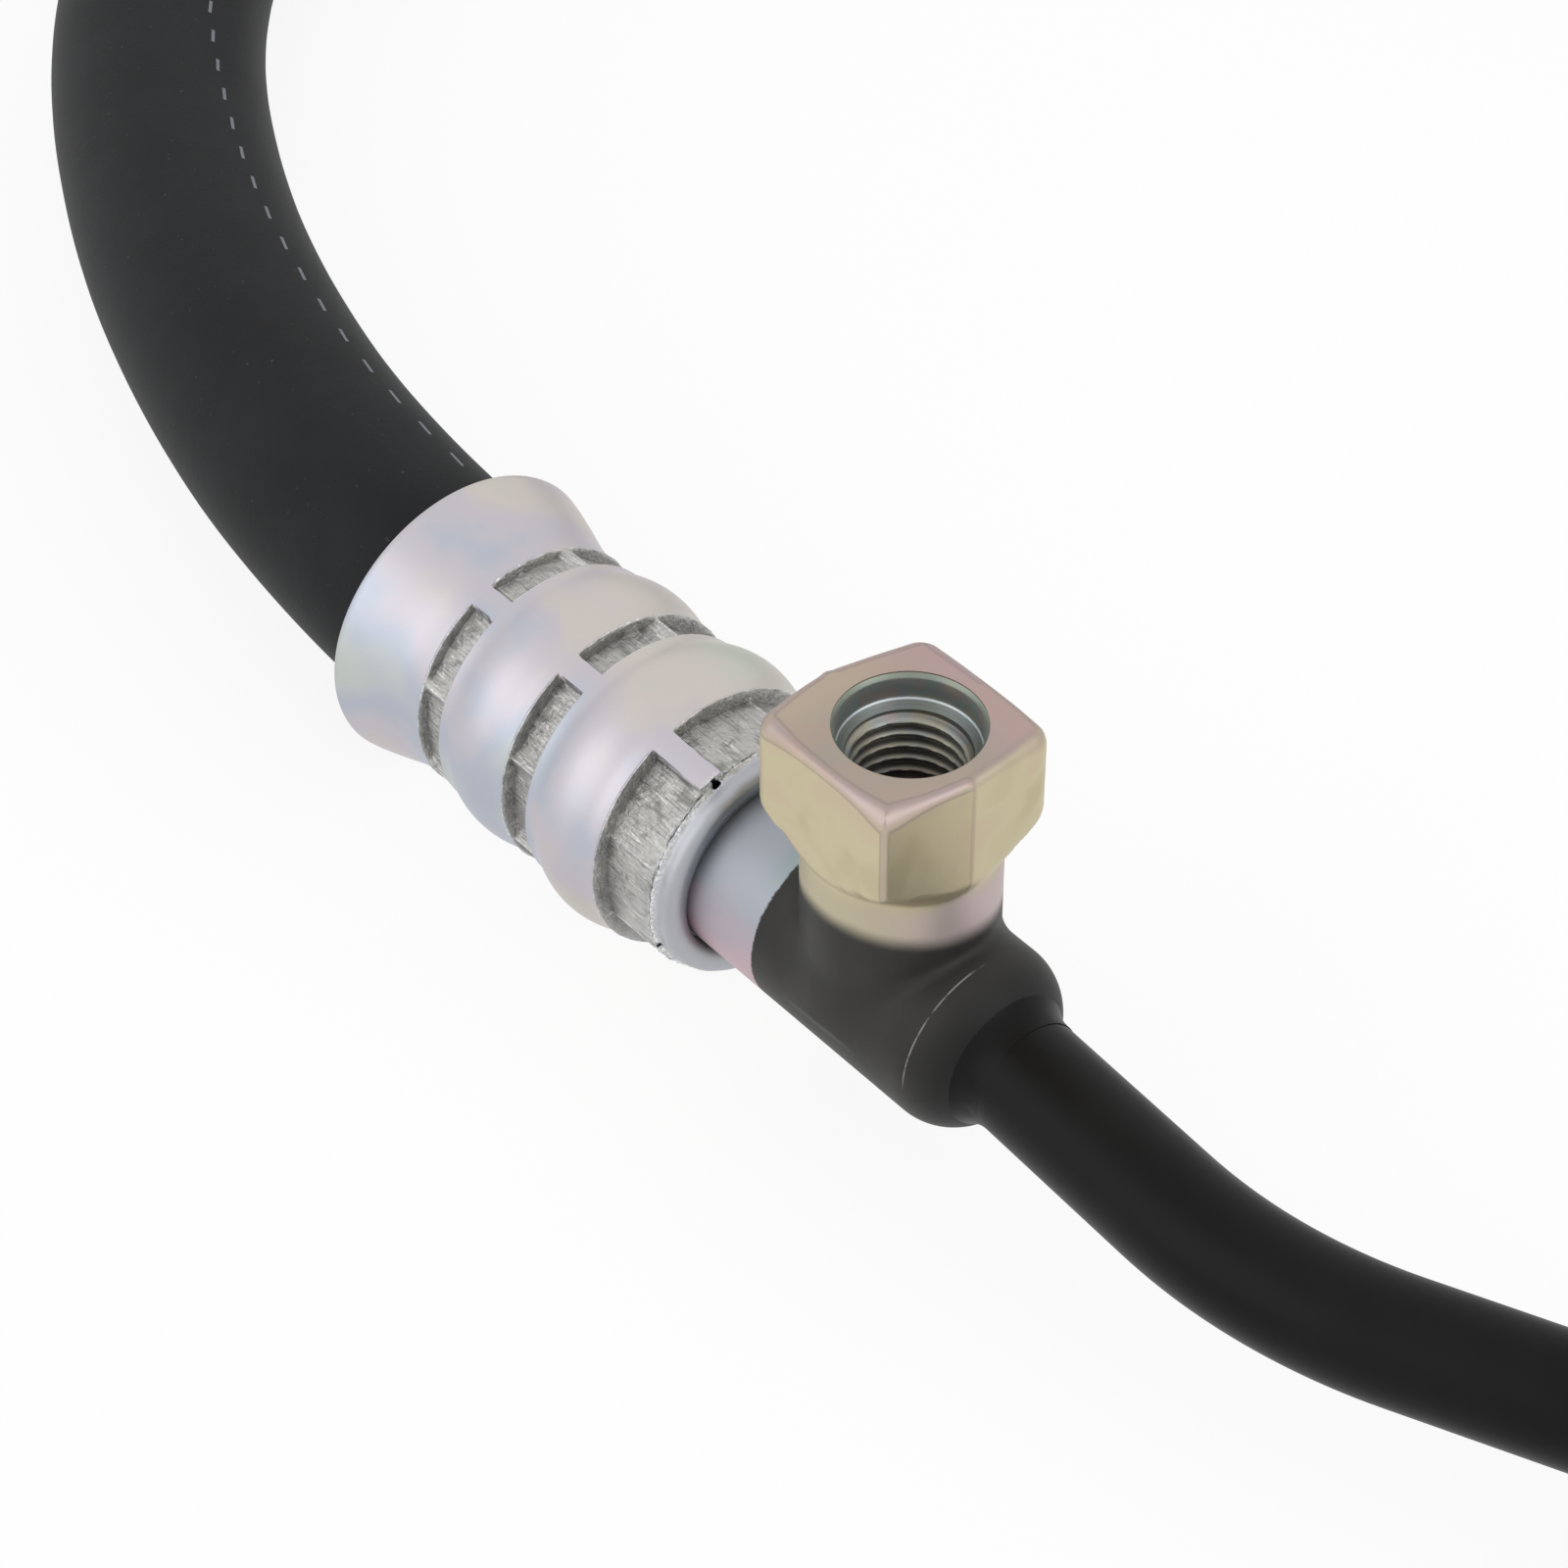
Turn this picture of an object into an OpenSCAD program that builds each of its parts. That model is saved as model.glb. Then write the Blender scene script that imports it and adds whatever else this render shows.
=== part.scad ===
// Power steering pressure hose: a braided rubber hose crimped into ferrules, a
// tee fitting with a switch port, a bent steel tube with its union nut, and a
// banjo eye on the far end. Millimetres.
// Origin: axis of the switch port, where its thread begins. +X runs along the
// tee from the hose to the tube, +Z leaves the port. The assembly lies on a
// bench under the ferrule's skirt.

/* [Hose] */
// Outside diameter of the hose
hose_d = 20.8; // [20:0.2:21.2]
// Bore of the hose
hose_bore_d = 9.5; // [9.2:0.1:10.2]
// Outside diameter of the rubber liner
liner_d = 13.2; // [12.8:0.2:13.6]
// Thickness of each textile braid
braid_t = 0.5; // [0.3:0.05:0.7]
// Thickness of the rubber between the braids
interlayer_t = 0.5; // [0.3:0.05:0.8]

/* [Ferrule] */
// Gap between the tee's port axis and the end of the ferrule
ferrule_gap = 16.3; // [15.5:0.1:18]
// Length of the rolled end lip
lip_l = 2.1; // [1.8:0.1:2.6]
// Length of the crimped band on the nipple
band_nipple_l = 5.5; // [5:0.1:6.5]
// Length of the bulge next to the nipple band
bulge_nipple_l = 9.1; // [8.5:0.1:10]
// Height of the bulge next to the nipple band
bulge_nipple_h = 1.94; // [1.4:0.02:2.2]
// Length of the middle crimped band
band_mid_l = 3; // [2.6:0.1:3.6]
// Length of the bulge next to the skirt
bulge_skirt_l = 8.8; // [8:0.1:9.6]
// Height of the bulge next to the skirt
bulge_skirt_h = 1.54; // [1.2:0.02:2]
// Length of the crimped band next to the skirt
band_skirt_l = 2.8; // [2.4:0.1:3.4]
// Length of the flared skirt
skirt_l = 9.4; // [8.6:0.1:10.4]
// Outside diameter of the skirt's rim
skirt_d = 27; // [26.4:0.1:28]
// Outside diameter where the bulges leave the bands
band_d = 21.8; // [21.4:0.1:22.4]
// Outside diameter over the ridges left between the jaws
ridge_d = 23; // [22.6:0.1:23.4]
// Diameter over the middle of two opposite jaw prints
print_d = 21.5; // [21.2:0.05:21.6]
// Face radius of a crimping jaw
jaw_r = 16; // [13:0.5:24]
// Number of crimping jaws
jaw_count = 8; // [6:1:10]
// Angle of the ridge left between two jaws
ridge_angle = 3; // [2:0.5:5]
// Angle of the wide bridge left where the die halves meet
bridge_angle = 12; // [8:1:16]
// Wall of the ferrule over the hose
ferrule_wall = 1.6; // [1.4:0.05:1.7]
// Diameter of the hole in the end lip
lip_hole_d = 17.4; // [17:0.1:18]
// Depth of the recess inside the end lip
lip_recess = 2; // [1.6:0.1:2]

/* [Nipple] */
// Outside diameter of the nipple's collar
collar_d = 16.4; // [16:0.1:17.2]
// Length of the collar
collar_l = 2.5; // [2:0.1:3]
// Diameter of the groove that the ferrule is crimped into
groove_d = 14; // [13.6:0.1:14.4]
// Diameter of the spigot brazed into the stem
spigot_d = 12; // [11.6:0.1:12.4]
// Length of the spigot
spigot_l = 10; // [8:0.5:10.5]
// Bore of the nipple
nipple_bore_d = 6.4; // [5.8:0.1:6.8]
// Depth of the barbs
barb_h = 0.45; // [0.3:0.05:0.6]
// Number of barbs
barb_count = 7; // [5:1:9]
// Plain tip between the first barb and the nipple's end
nipple_tip = 3; // [2:0.5:5]

/* [Tee body] */
// Height of the port's top face over the pipe axis
tee_drop = 26.75; // [25.5:0.25:30]
// Outside diameter of the stem and pipe body
body_d = 16; // [15.6:0.1:16.4]
// Distance from the port axis to the start of the rounded collar
body_reach = 7.7; // [7.4:0.1:10]
// Rounding radius of the collar
collar_round = 5.2; // [4.6:0.1:5.6]
// Diameter of the neck
neck_d = 15.8; // [15:0.1:16]
// Offset of the neck from the port axis, towards the hose
neck_shift = 0.6; // [0:0.1:1]
// Diameter of the passage along the body
passage_d = 7; // [6.6:0.1:7.4]
// Diameter of the passage up to the switch port
riser_d = 5; // [4:0.25:6]
// Depth of the tube's socket
socket_l = 8; // [6:0.5:9]

/* [Port block] */
// Height of the block
block_h = 11.6; // [11:0.1:12.4]
// Half width on the far side of the port
block_back = 7.5; // [7.4:0.1:8]
// Half width on the near side of the port
block_front = 7.9; // [7.4:0.1:8.2]
// Reach of the block towards the hose
block_hose = 8.9; // [8.4:0.1:9.4]
// Reach of the block towards the tube
block_tube = 7.6; // [7.5:0.1:8.4]
// Draft of the far half on the hose side
draft_hose_back = 14; // [8:1:16]
// Draft of the near half on the hose side
draft_hose_front = 4; // [2:1:8]
// Draft of the far half on the tube side
draft_tube_back = 3; // [1:1:8]
// Draft of the near half on the tube side
draft_tube_front = 9; // [4:1:12]
// Offset of the parting seam from the port axis
seam_shift = 0.5; // [0:0.1:1]
// Radius of the block's upright corners
block_corner_r = 1.2; // [1:0.1:1.6]
// Radius of the block's top edge
block_edge_r = 0.9; // [0.6:0.1:0.9]
// Diameter over the corners where the turned underside begins
skirt_cone_d = 22.4; // [21.6:0.1:23]
// Height from the top face down to the turned underside
skirt_cone_drop = 8.4; // [8:0.1:9]
// Tap drill diameter of the M10 port thread
port_thread_d = 8.65; // [8.4:0.05:8.8]
// Depth of the thread
port_thread_l = 11; // [9:0.5:12.5]
// Depth of the seat over the thread
port_seat = 3; // [2.6:0.1:3.4]
// Diameter of the seat at the thread
port_land_d = 10; // [9.6:0.1:10.4]
// Diameter of the seal's counterbore
port_bore_d = 11.4; // [11:0.1:11.8]
// Height of the cone between seat and counterbore
port_cone_h = 0.7; // [0.5:0.1:1]
// Chamfer at the mouth
port_chamfer = 0.3; // [0.1:0.05:0.4]

/* [Steel tube] */
// Outside diameter of the tube
tube_d = 10; // [9.5:0.1:10.4]
// Wall of the tube
tube_wall = 1; // [0.7:0.1:1.5]
// Set of the tube as it leaves the braze
tube_set = 3.2; // [1:0.1:5]
// Straight run from the tee to the first bend
tube_run_1 = 16.2; // [12:0.2:22]
// Angle of the first bend
tube_bend_1 = 28.5; // [20:0.5:40]
// Straight run between the bends
tube_run_2 = 20; // [12:1:30]
// Centreline radius of the bends
tube_bend_r = 43; // [30:1:50]
// Straight run that carries the nut
tube_run_3 = 45; // [38:1:60]
// Roll of the bent plane about the tee's axis
tube_roll = 2.9; // [0:0.1:4]
// Distance from the sealing bead to the tube's end
pilot_l = 7; // [5:0.5:9]
// Diameter of the sealing bead
bead_d = 13.4; // [12.8:0.2:14]
// Length of the sealing bead
bead_l = 2.2; // [1.8:0.1:3]

/* [Union nut] */
// Thread diameter of the nut
nut_thread_d = 18; // [17.5:0.1:18.5]
// Length of the nut's thread
nut_thread_l = 11; // [9:0.5:13]
// Size of the hexagon across its flats
nut_af = 22; // [21:0.5:24]
// Length of the hexagon
nut_hex_l = 9; // [7:0.5:11]
// Length of the relief between thread and hexagon
nut_relief_l = 1.6; // [1:0.1:2.4]
// Depth of the relief
nut_relief_h = 1.2; // [0.8:0.1:1.6]
// Running clearance of the nut on the tube
nut_clear = 0.06; // [0.03:0.01:0.1]
// Section diameter of the O-ring
o_ring_d = 1.9; // [1.6:0.1:2.2]

/* [Banjo end] */
// Distance from the ferrule's end to the eye's axis
banjo_reach = 31; // [27:0.5:40]
// Outside diameter of the eye
banjo_d = 25; // [23:0.5:26.5]
// Thickness of the eye between its seal faces
banjo_t = 16; // [14:0.5:18]
// Bore for the banjo bolt
banjo_bore_d = 14.2; // [13:0.1:15]
// Diameter of the raised seal faces
banjo_face_d = 22; // [20.5:0.5:22.5]
// Height of each raised seal face
banjo_face_h = 0.6; // [0.3:0.1:1]

/* [Fits] */
// Radial clearance between brazed, pressed and crimped pieces
assembly_clear = 0.05; // [0.02:0.01:0.08]
// Radial gap between the squeezed hose and the crimped bands
hose_clear = 0.1; // [0.05:0.01:0.2]

/* [Hidden] */
$fn = 96;

// Heights
block_top = port_seat;
axis_z = port_seat - tee_drop;

// Stations along the tee axis, from the ferrule's end to its skirt
x_end = -ferrule_gap;
x_lip = x_end - lip_l;
x_nipple_band = x_lip - band_nipple_l;
x_bulge_1 = x_nipple_band - bulge_nipple_l;
x_mid_band = x_bulge_1 - band_mid_l;
x_bulge_2 = x_mid_band - bulge_skirt_l;
x_skirt_band = x_bulge_2 - band_skirt_l;
x_rim = x_skirt_band - skirt_l;
x_stem = x_end - lip_recess;
x_collar = x_nipple_band + assembly_clear;
x_hose_end = x_collar - collar_l - assembly_clear;
x_dome = body_reach + sqrt(pow(collar_round, 2) - pow(collar_round - body_d / 2 + tube_d / 2 + 0.6, 2));

// Radii inside the ferrule
grip_r = band_d / 2 - ferrule_wall;
squeezed_r = grip_r - hose_clear;
web_r = groove_d / 2 + assembly_clear;
hose_sides = 12;
barb_r = hose_bore_d / 2 * cos(180 / hose_sides) - assembly_clear;

// Where the far fitting stands
far_x = -13;
far_y = 190;

// Points of an arch from one station to the next, standing h over radius r
function arch(x0, x1, r, h, n = 14) =
  let (half = abs(x1 - x0) / 2, big = (half * half + h * h) / (2 * h), mid = (x0 + x1) / 2,
    sweep = asin(half / big), dir = x1 > x0 ? 1 : -1)
  [for (i = [1 : n - 1]) let (a = -sweep + 2 * sweep * i / n)
    [r + h - big + big * cos(a), mid + dir * big * sin(a)]];

// Points of a quarter or other arc about [cr, cx], from angle a0 to a1
function arc(cr, cx, rad, a0, a1, n = 6) =
  [for (i = [0 : n]) let (a = a0 + (a1 - a0) * i / n) [cr + rad * cos(a), cx + rad * sin(a)]];

// Flare of the skirt, as shares of its length and of its rise
flare = [[0.12, 0.09], [0.335, 0.315], [0.676, 0.708], [0.883, 0.912]];

// Revolves a profile of [radius, station] points about the tee axis
module turned(points) {
  translate([0, 0, axis_z])
    rotate([0, 90, 0])
      rotate_extrude()
        polygon(points);
}

// The outside of the ferrule before the jaws close on it
function ferrule_outside() = concat(
  [[skirt_d / 2 - ferrule_wall + 0.3, x_rim], [skirt_d / 2 - 0.3, x_rim]],
  [[skirt_d / 2, x_rim + 0.3]],
  [for (i = [len(flare) - 1 : -1 : 0]) [band_d / 2 + flare[i][1] * (skirt_d - band_d) / 2,
    x_skirt_band - flare[i][0] * skirt_l]],
  [[band_d / 2, x_skirt_band], [ridge_d / 2, x_skirt_band + 0.1], [ridge_d / 2, x_bulge_2 - 0.1]],
  [[band_d / 2, x_bulge_2]],
  arch(x_bulge_2, x_mid_band, band_d / 2, bulge_skirt_h),
  [[band_d / 2, x_mid_band], [ridge_d / 2, x_mid_band + 0.1], [ridge_d / 2, x_bulge_1 - 0.1]],
  [[band_d / 2, x_bulge_1]],
  arch(x_bulge_1, x_nipple_band, band_d / 2, bulge_nipple_h),
  [[band_d / 2, x_nipple_band], [ridge_d / 2, x_nipple_band + 0.1], [ridge_d / 2, x_lip]],
  [[print_d / 2 - 0.25, x_lip + 0.1]],
  arc(print_d / 2 - 0.3 - 1.1, x_end - 1.1, 1.1, 0, 90));

// The inside: end hole, recess, crimped web, and the hose's cavity
function ferrule_inside() = concat(
  arc(lip_hole_d / 2 + 0.3, x_end - 0.3, 0.3, 90, 180, 3),
  [[lip_hole_d / 2, x_stem], [web_r, x_stem], [web_r, x_collar + assembly_clear]],
  [[collar_d / 2 + assembly_clear, x_collar + assembly_clear], [grip_r, x_collar - 0.9]],
  arch(x_collar - 0.9, x_bulge_1, grip_r, bulge_nipple_h),
  [[grip_r, x_bulge_1], [grip_r, x_mid_band]],
  arch(x_mid_band, x_bulge_2, grip_r, bulge_skirt_h),
  [[grip_r, x_bulge_2], [grip_r, x_skirt_band]],
  [for (f = flare) [grip_r + f[1] * (skirt_d - band_d) / 2, x_skirt_band - f[0] * skirt_l]],
  [[skirt_d / 2 - ferrule_wall, x_rim + 0.3]]);

// What one jaw presses away between two stations. mid is the jaw's angle, and
// gap_a and gap_b are the angles of the ridges left on its two sides.
module jaw_print(x0, x1, mid, gap_a, gap_b) {
  half = 180 / jaw_count;
  bite = 0.08;
  translate([0, 0, x0 - bite])
    rotate([0, 0, mid])
      difference() {
        rotate([0, 0, -half + gap_a / 2])
          rotate_extrude(angle = 2 * half - gap_a / 2 - gap_b / 2)
            translate([print_d / 2 - 1, 0])
              square([2.5, x1 - x0 + 2 * bite]);
        translate([print_d / 2 - jaw_r, 0, -1])
          cylinder(r = jaw_r, h = x1 - x0 + 2);
      }
}

// The prints of all the jaws round one band
module band_prints(x0, x1) {
  pitch = 360 / jaw_count;
  for (i = [0 : jaw_count - 1])
    jaw_print(x0, x1, i * pitch,
      i == ceil(jaw_count / 2) + 1 ? bridge_angle : ridge_angle,
      i == ceil(jaw_count / 2) ? bridge_angle : ridge_angle);
}

module ferrule_solid() {
  difference() {
    turned(concat(ferrule_outside(), ferrule_inside()));
    translate([0, 0, axis_z])
      rotate([0, 90, 0]) {
        band_prints(x_skirt_band, x_bulge_2);
        band_prints(x_mid_band, x_bulge_1);
        band_prints(x_nipple_band, x_lip);
      }
  }
}

module nipple_solid() {
  barbs_from = x_hose_end - 2;
  barbs_to = x_rim + nipple_tip;
  pitch = (barbs_from - barbs_to) / barb_count;
  turned(concat(
    [[nipple_bore_d / 2, x_stem + spigot_l], [spigot_d / 2 - 0.4, x_stem + spigot_l]],
    [[spigot_d / 2, x_stem + spigot_l - 0.4], [spigot_d / 2, x_stem]],
    [[groove_d / 2, x_stem], [groove_d / 2, x_collar]],
    [[collar_d / 2 - 0.3, x_collar], [collar_d / 2, x_collar - 0.3]],
    [[collar_d / 2, x_collar - collar_l + 0.3], [collar_d / 2 - 0.3, x_collar - collar_l]],
    [[barb_r - barb_h, x_collar - collar_l]],
    [for (i = [0 : barb_count - 1]) each [
      [barb_r - barb_h, barbs_from - i * pitch],
      [barb_r, barbs_from - i * pitch - 0.2],
      [barb_r, barbs_from - i * pitch - 0.5]]],
    [[barb_r - barb_h, barbs_to], [nipple_bore_d / 2 + 0.3, barbs_to - nipple_tip + 1]],
    [[nipple_bore_d / 2, barbs_to - nipple_tip + 1]]));
}

module braze_ring_solid() {
  turned([
    [spigot_d / 2 + assembly_clear / 2, x_stem + 0.02], [spigot_d / 2 + 0.7, x_stem + 0.02],
    [spigot_d / 2 + assembly_clear / 2, x_stem + 0.72]]);
}

// The stem: mouth chamfer for the braze, bore for the spigot, fluid passage
module stem_bores() {
  spigot_r = spigot_d / 2 + assembly_clear;
  turned([
    [0, x_stem - 1], [spigot_r + 1.7, x_stem - 1], [spigot_r, x_stem + 0.7]]);
  turned([
    [0, x_stem - 1], [spigot_r, x_stem - 1],
    [spigot_r, x_stem + spigot_l + assembly_clear], [0, x_stem + spigot_l + assembly_clear]]);
}

// Rounded upright bar at one corner of the port block
module block_corner(x, y, r) {
  translate([x, y, block_top - block_h])
    rotate_extrude($fn = 32)
      polygon(concat([[0, 0], [r, 0]],
        arc(r - block_edge_r, block_h - block_edge_r, block_edge_r, 0, 90),
        [[0, block_h]]));
}

module block_blank() {
  r = block_corner_r;
  seam_r = block_edge_r + 0.1;
  back = block_back - r;
  front = block_front - r;
  hull() {
    block_corner(r - block_hose + (block_back + seam_shift) * tan(draft_hose_back), back, r);
    block_corner(block_tube - r - (block_back + seam_shift) * tan(draft_tube_back), back, r);
    block_corner(block_tube - seam_r, -seam_shift, seam_r);
    block_corner(block_tube - r - (block_front - seam_shift) * tan(draft_tube_front), -front, r);
    block_corner(r - block_hose + (block_front - seam_shift) * tan(draft_hose_front), -front, r);
    block_corner(seam_r - block_hose, -seam_shift, seam_r);
  }
}

// The forged block: a drafted blank whose underside is turned to the neck
module port_block() {
  intersection() {
    block_blank();
    translate([-neck_shift, 0, block_top])
      rotate_extrude()
        polygon([
          [0, 1], [skirt_cone_d / 2, 1], [skirt_cone_d / 2, -skirt_cone_drop],
          [neck_d / 2, -block_h], [0, -block_h]]);
  }
}

module port_bore() {
  cylinder(d = port_thread_d, h = 2 * port_thread_l, center = true);
  cylinder(d1 = port_land_d, d2 = port_bore_d, h = port_cone_h);
  translate([0, 0, port_cone_h])
    cylinder(d = port_bore_d, h = port_seat);
  translate([0, 0, port_seat - port_chamfer])
    cylinder(d1 = port_bore_d, d2 = port_bore_d + 4 * port_chamfer, h = 2 * port_chamfer);
  translate([0, 0, -port_thread_l - (port_thread_d - riser_d) / 3.4])
    cylinder(d1 = riser_d, d2 = port_thread_d, h = (port_thread_d - riser_d) / 3.4);
  translate([0, 0, axis_z])
    cylinder(d = riser_d, h = -axis_z - 1);
}

module tee_solid() {
  difference() {
    union() {
      turned(concat(
        [[0, x_stem], [body_d / 2 - 0.3, x_stem], [body_d / 2, x_stem + 0.3]],
        arc(body_d / 2 - collar_round, body_reach, collar_round, 0,
          asin((x_dome - body_reach) / collar_round), 12),
        [[0, x_dome]]));
      translate([-neck_shift, 0, axis_z])
        cylinder(d = neck_d, h = tee_drop - block_h + 0.5);
      port_block();
    }
    stem_bores();
    turned([[0, x_stem], [passage_d / 2, x_stem], [passage_d / 2, x_dome], [0, x_dome]]);
    turned([
      [0, x_dome - socket_l], [tube_d / 2 + assembly_clear, x_dome - socket_l],
      [tube_d / 2 + assembly_clear, x_dome + 1], [0, x_dome + 1]]);
    port_bore();
  }
}

module tube_fillet_solid() {
  r = tube_d / 2 + assembly_clear / 2;
  turned(concat(
    [[r, x_dome + 0.02], [r + 0.7, x_dome + 0.02]],
    arc(r + 0.9, x_dome + 1.1, 0.9, -100, -180, 6)));
}

// Steel tube: a chain of straight runs and bends, with its formed end. A bend
// is drawn a little thinner than the runs, which reach into it at both ends.
bend_thins = 0.03;
bend_seat = 0.3;

module tube_section(thin = 0) {
  difference() {
    circle(d = tube_d - 2 * thin);
    circle(d = tube_d - 2 * tube_wall + 2 * thin);
  }
}

module tube_run(l, before = bend_seat, after = bend_seat) {
  translate([-before, 0, 0])
    rotate([0, 90, 0])
      linear_extrude(before + l + after)
        tube_section();
  translate([l, 0, 0])
    children();
}

module tube_bend(a) {
  turn = a > 0 ? 0 : 1;
  mirror([0, turn, 0])
    translate([0, tube_bend_r, 0])
      rotate([0, 0, -90])
        rotate_extrude(angle = abs(a))
          translate([tube_bend_r, 0])
            tube_section(bend_thins);
  translate([tube_bend_r * sin(abs(a)), sign(a) * tube_bend_r * (1 - cos(a)), 0])
    rotate([0, 0, a])
      children();
}

// Where a run or a bend of the tube ends: [x, y, heading]
function after_run(p, l) = [p[0] + l * cos(p[2]), p[1] + l * sin(p[2]), p[2]];
function after_bend(p, a) = [
  p[0] + sign(a) * tube_bend_r * (sin(p[2] + a) - sin(p[2])),
  p[1] + sign(a) * tube_bend_r * (cos(p[2]) - cos(p[2] + a)),
  p[2] + a];

tube_start = x_dome - socket_l + assembly_clear;
socket_run = x_dome + 0.3 - tube_start;
p_set = after_bend(after_run([tube_start, 0, 0], socket_run), -tube_set);
p_bend_1 = after_bend(after_run(p_set, tube_run_1), tube_bend_1);
p_bend_2 = after_bend(after_run(p_bend_1, tube_run_2), tube_set - tube_bend_1);
p_end = after_run(p_bend_2, tube_run_3);

module on_tube_plane() {
  translate([0, 0, axis_z])
    rotate([-tube_roll, 0, 0])
      children();
}

// Revolves a profile about the last straight run, stations from the tube's end
module turned_at_end(points) {
  on_tube_plane()
    translate([p_end[0], p_end[1], 0])
      rotate([0, 90, 0])
        rotate_extrude()
          polygon(points);
}

module tube_solid() {
  on_tube_plane()
    translate([tube_start, 0, 0])
      tube_run(socket_run, before = 0)
        tube_bend(-tube_set)
          tube_run(tube_run_1)
            tube_bend(tube_bend_1)
              tube_run(tube_run_2)
                tube_bend(tube_set - tube_bend_1)
                  tube_run(tube_run_3, after = 0);
  turned_at_end([
    [tube_d / 2 - tube_wall / 2, -pilot_l], [bead_d / 2 - 0.4, -pilot_l],
    [bead_d / 2, -pilot_l - 0.4], [bead_d / 2, -pilot_l - 0.6 * bead_l],
    [tube_d / 2 + 0.3, -pilot_l - bead_l], [tube_d / 2 - tube_wall / 2, -pilot_l - bead_l]]);
}

module nut_solid() {
  front = -pilot_l - bead_l - nut_clear;
  back = front - nut_thread_l - nut_hex_l;
  shoulder = front - nut_thread_l;
  rise = (nut_af / cos(30) - nut_af) / 2 * tan(30);
  bore_r = tube_d / 2 + nut_clear;
  difference() {
    union() {
      turned_at_end([
        [0, shoulder - 1], [nut_thread_d / 2 - nut_relief_h, shoulder - 1],
        [nut_thread_d / 2 - nut_relief_h, shoulder + nut_relief_l],
        [nut_thread_d / 2, shoulder + nut_relief_l + nut_relief_h],
        [nut_thread_d / 2, front - 1.2], [nut_thread_d / 2 - 1.2, front], [0, front]]);
      intersection() {
        on_tube_plane()
          translate([p_end[0] + back, p_end[1], 0])
            rotate([0, 90, 0])
              cylinder(d = nut_af / cos(30), h = nut_hex_l, $fn = 6);
        turned_at_end([
          [0, back - 1], [nut_af / 2 - 0.2, back - 1], [nut_af / 2 - 0.2, back],
          [nut_af / cos(30) / 2 + 0.2, back + rise + 0.23],
          [nut_af / cos(30) / 2 + 0.2, shoulder - rise - 0.23],
          [nut_af / 2 - 0.2, shoulder], [nut_af / 2 - 0.2, shoulder + 1], [0, shoulder + 1]]);
      }
    }
    turned_at_end([
      [0, back - 1], [bore_r + 1.6, back - 1], [bore_r, back + 0.6],
      [bore_r, front - 0.4], [bore_r + 1.4, front + 1], [0, front + 1]]);
  }
}

module o_ring_solid() {
  on_tube_plane()
    translate([p_end[0] - pilot_l + o_ring_d / 2 + assembly_clear, p_end[1], 0])
      rotate([0, 90, 0])
        rotate_extrude()
          translate([tube_d / 2 + assembly_clear + o_ring_d / 2, 0])
            circle(d = o_ring_d, $fn = 32);
}

// Hose route: [x, y, drop] from the end inside the near ferrule to the end
// inside the far one. Drop is counted from the axis height, down to the bench.
bench_drop = (skirt_d - hose_d) / 2;
route = [
  [x_hose_end, 0, 0], [x_skirt_band - 0.6, 0, 0], [x_rim + 2, 0, 0],
  [-72.1, 1.2, 0.05], [-82.9, 3, 0.15], [-98.6, 7.2, 0.35], [-112.9, 12.4, 0.55], [-127.4, 19.3, 0.8],
  [-141.9, 27.9, 0.95], [-153, 36.5, 1], [-166.2, 50.6, 1], [-179.5, 75.4, 1], [-184.4, 103.4, 1],
  [-180, 131.4, 1], [-166.6, 156.5, 1], [-146.2, 175.6, 0.95], [-121.8, 187.2, 0.7], [-94, 191.2, 0.3],
  [far_x + x_rim + 2, far_y, 0], [far_x + x_skirt_band - 0.6, far_y, 0], [far_x + x_hose_end, far_y, 0]];
ring_last = len(route) - 1;

function point(i) = [route[i][0], route[i][1], axis_z - route[i][2] * bench_drop];
function unit(v) = v / norm(v);
function heading(i) = i <= 2 ? [-1, 0, 0] : i >= ring_last - 2 ? [1, 0, 0] :
  unit(unit(point(i + 1) - point(i)) + unit(point(i) - point(i - 1)));
function side(i) = unit(cross([0, 0, 1], heading(i)));
function up(i) = cross(heading(i), side(i));

// Inside the ferrules the layers are squeezed onto the nipple
function squeeze(r, i) = i < 2 || i > ring_last - 2
  ? hose_bore_d / 2 + (r - hose_bore_d / 2) * (squeezed_r - hose_bore_d / 2) / (hose_d / 2 - hose_bore_d / 2)
  : r;
function ring(i, r) = [for (k = [0 : hose_sides - 1])
  let (a = 360 * k / hose_sides)
  point(i) + squeeze(r, i) * (sin(a) * side(i) + cos(a) * up(i))];

// One layer of the hose, swept along the whole route
module hose_layer(r_in, r_out) {
  n = hose_sides;
  rows = ring_last + 1;
  inner = n * rows;
  polyhedron(
    points = [
      for (i = [0 : ring_last]) each ring(i, r_out),
      for (i = [0 : ring_last]) each ring(i, r_in)],
    faces = [
      for (i = [0 : ring_last - 1], k = [0 : n - 1]) let (a = i * n + k, b = i * n + (k + 1) % n)
        each [[a, b, b + n], [a, b + n, a + n],
          [inner + a, inner + b + n, inner + b], [inner + a, inner + a + n, inner + b + n]],
      for (k = [0 : n - 1]) let (a = k, b = (k + 1) % n, c = ring_last * n + k, d = ring_last * n + (k + 1) % n)
        each [[a, inner + b, b], [a, inner + a, inner + b],
          [c, d, inner + d], [c, inner + d, inner + c]]]);
}

module far_end() {
  translate([far_x, far_y, 0])
    children();
}

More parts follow.
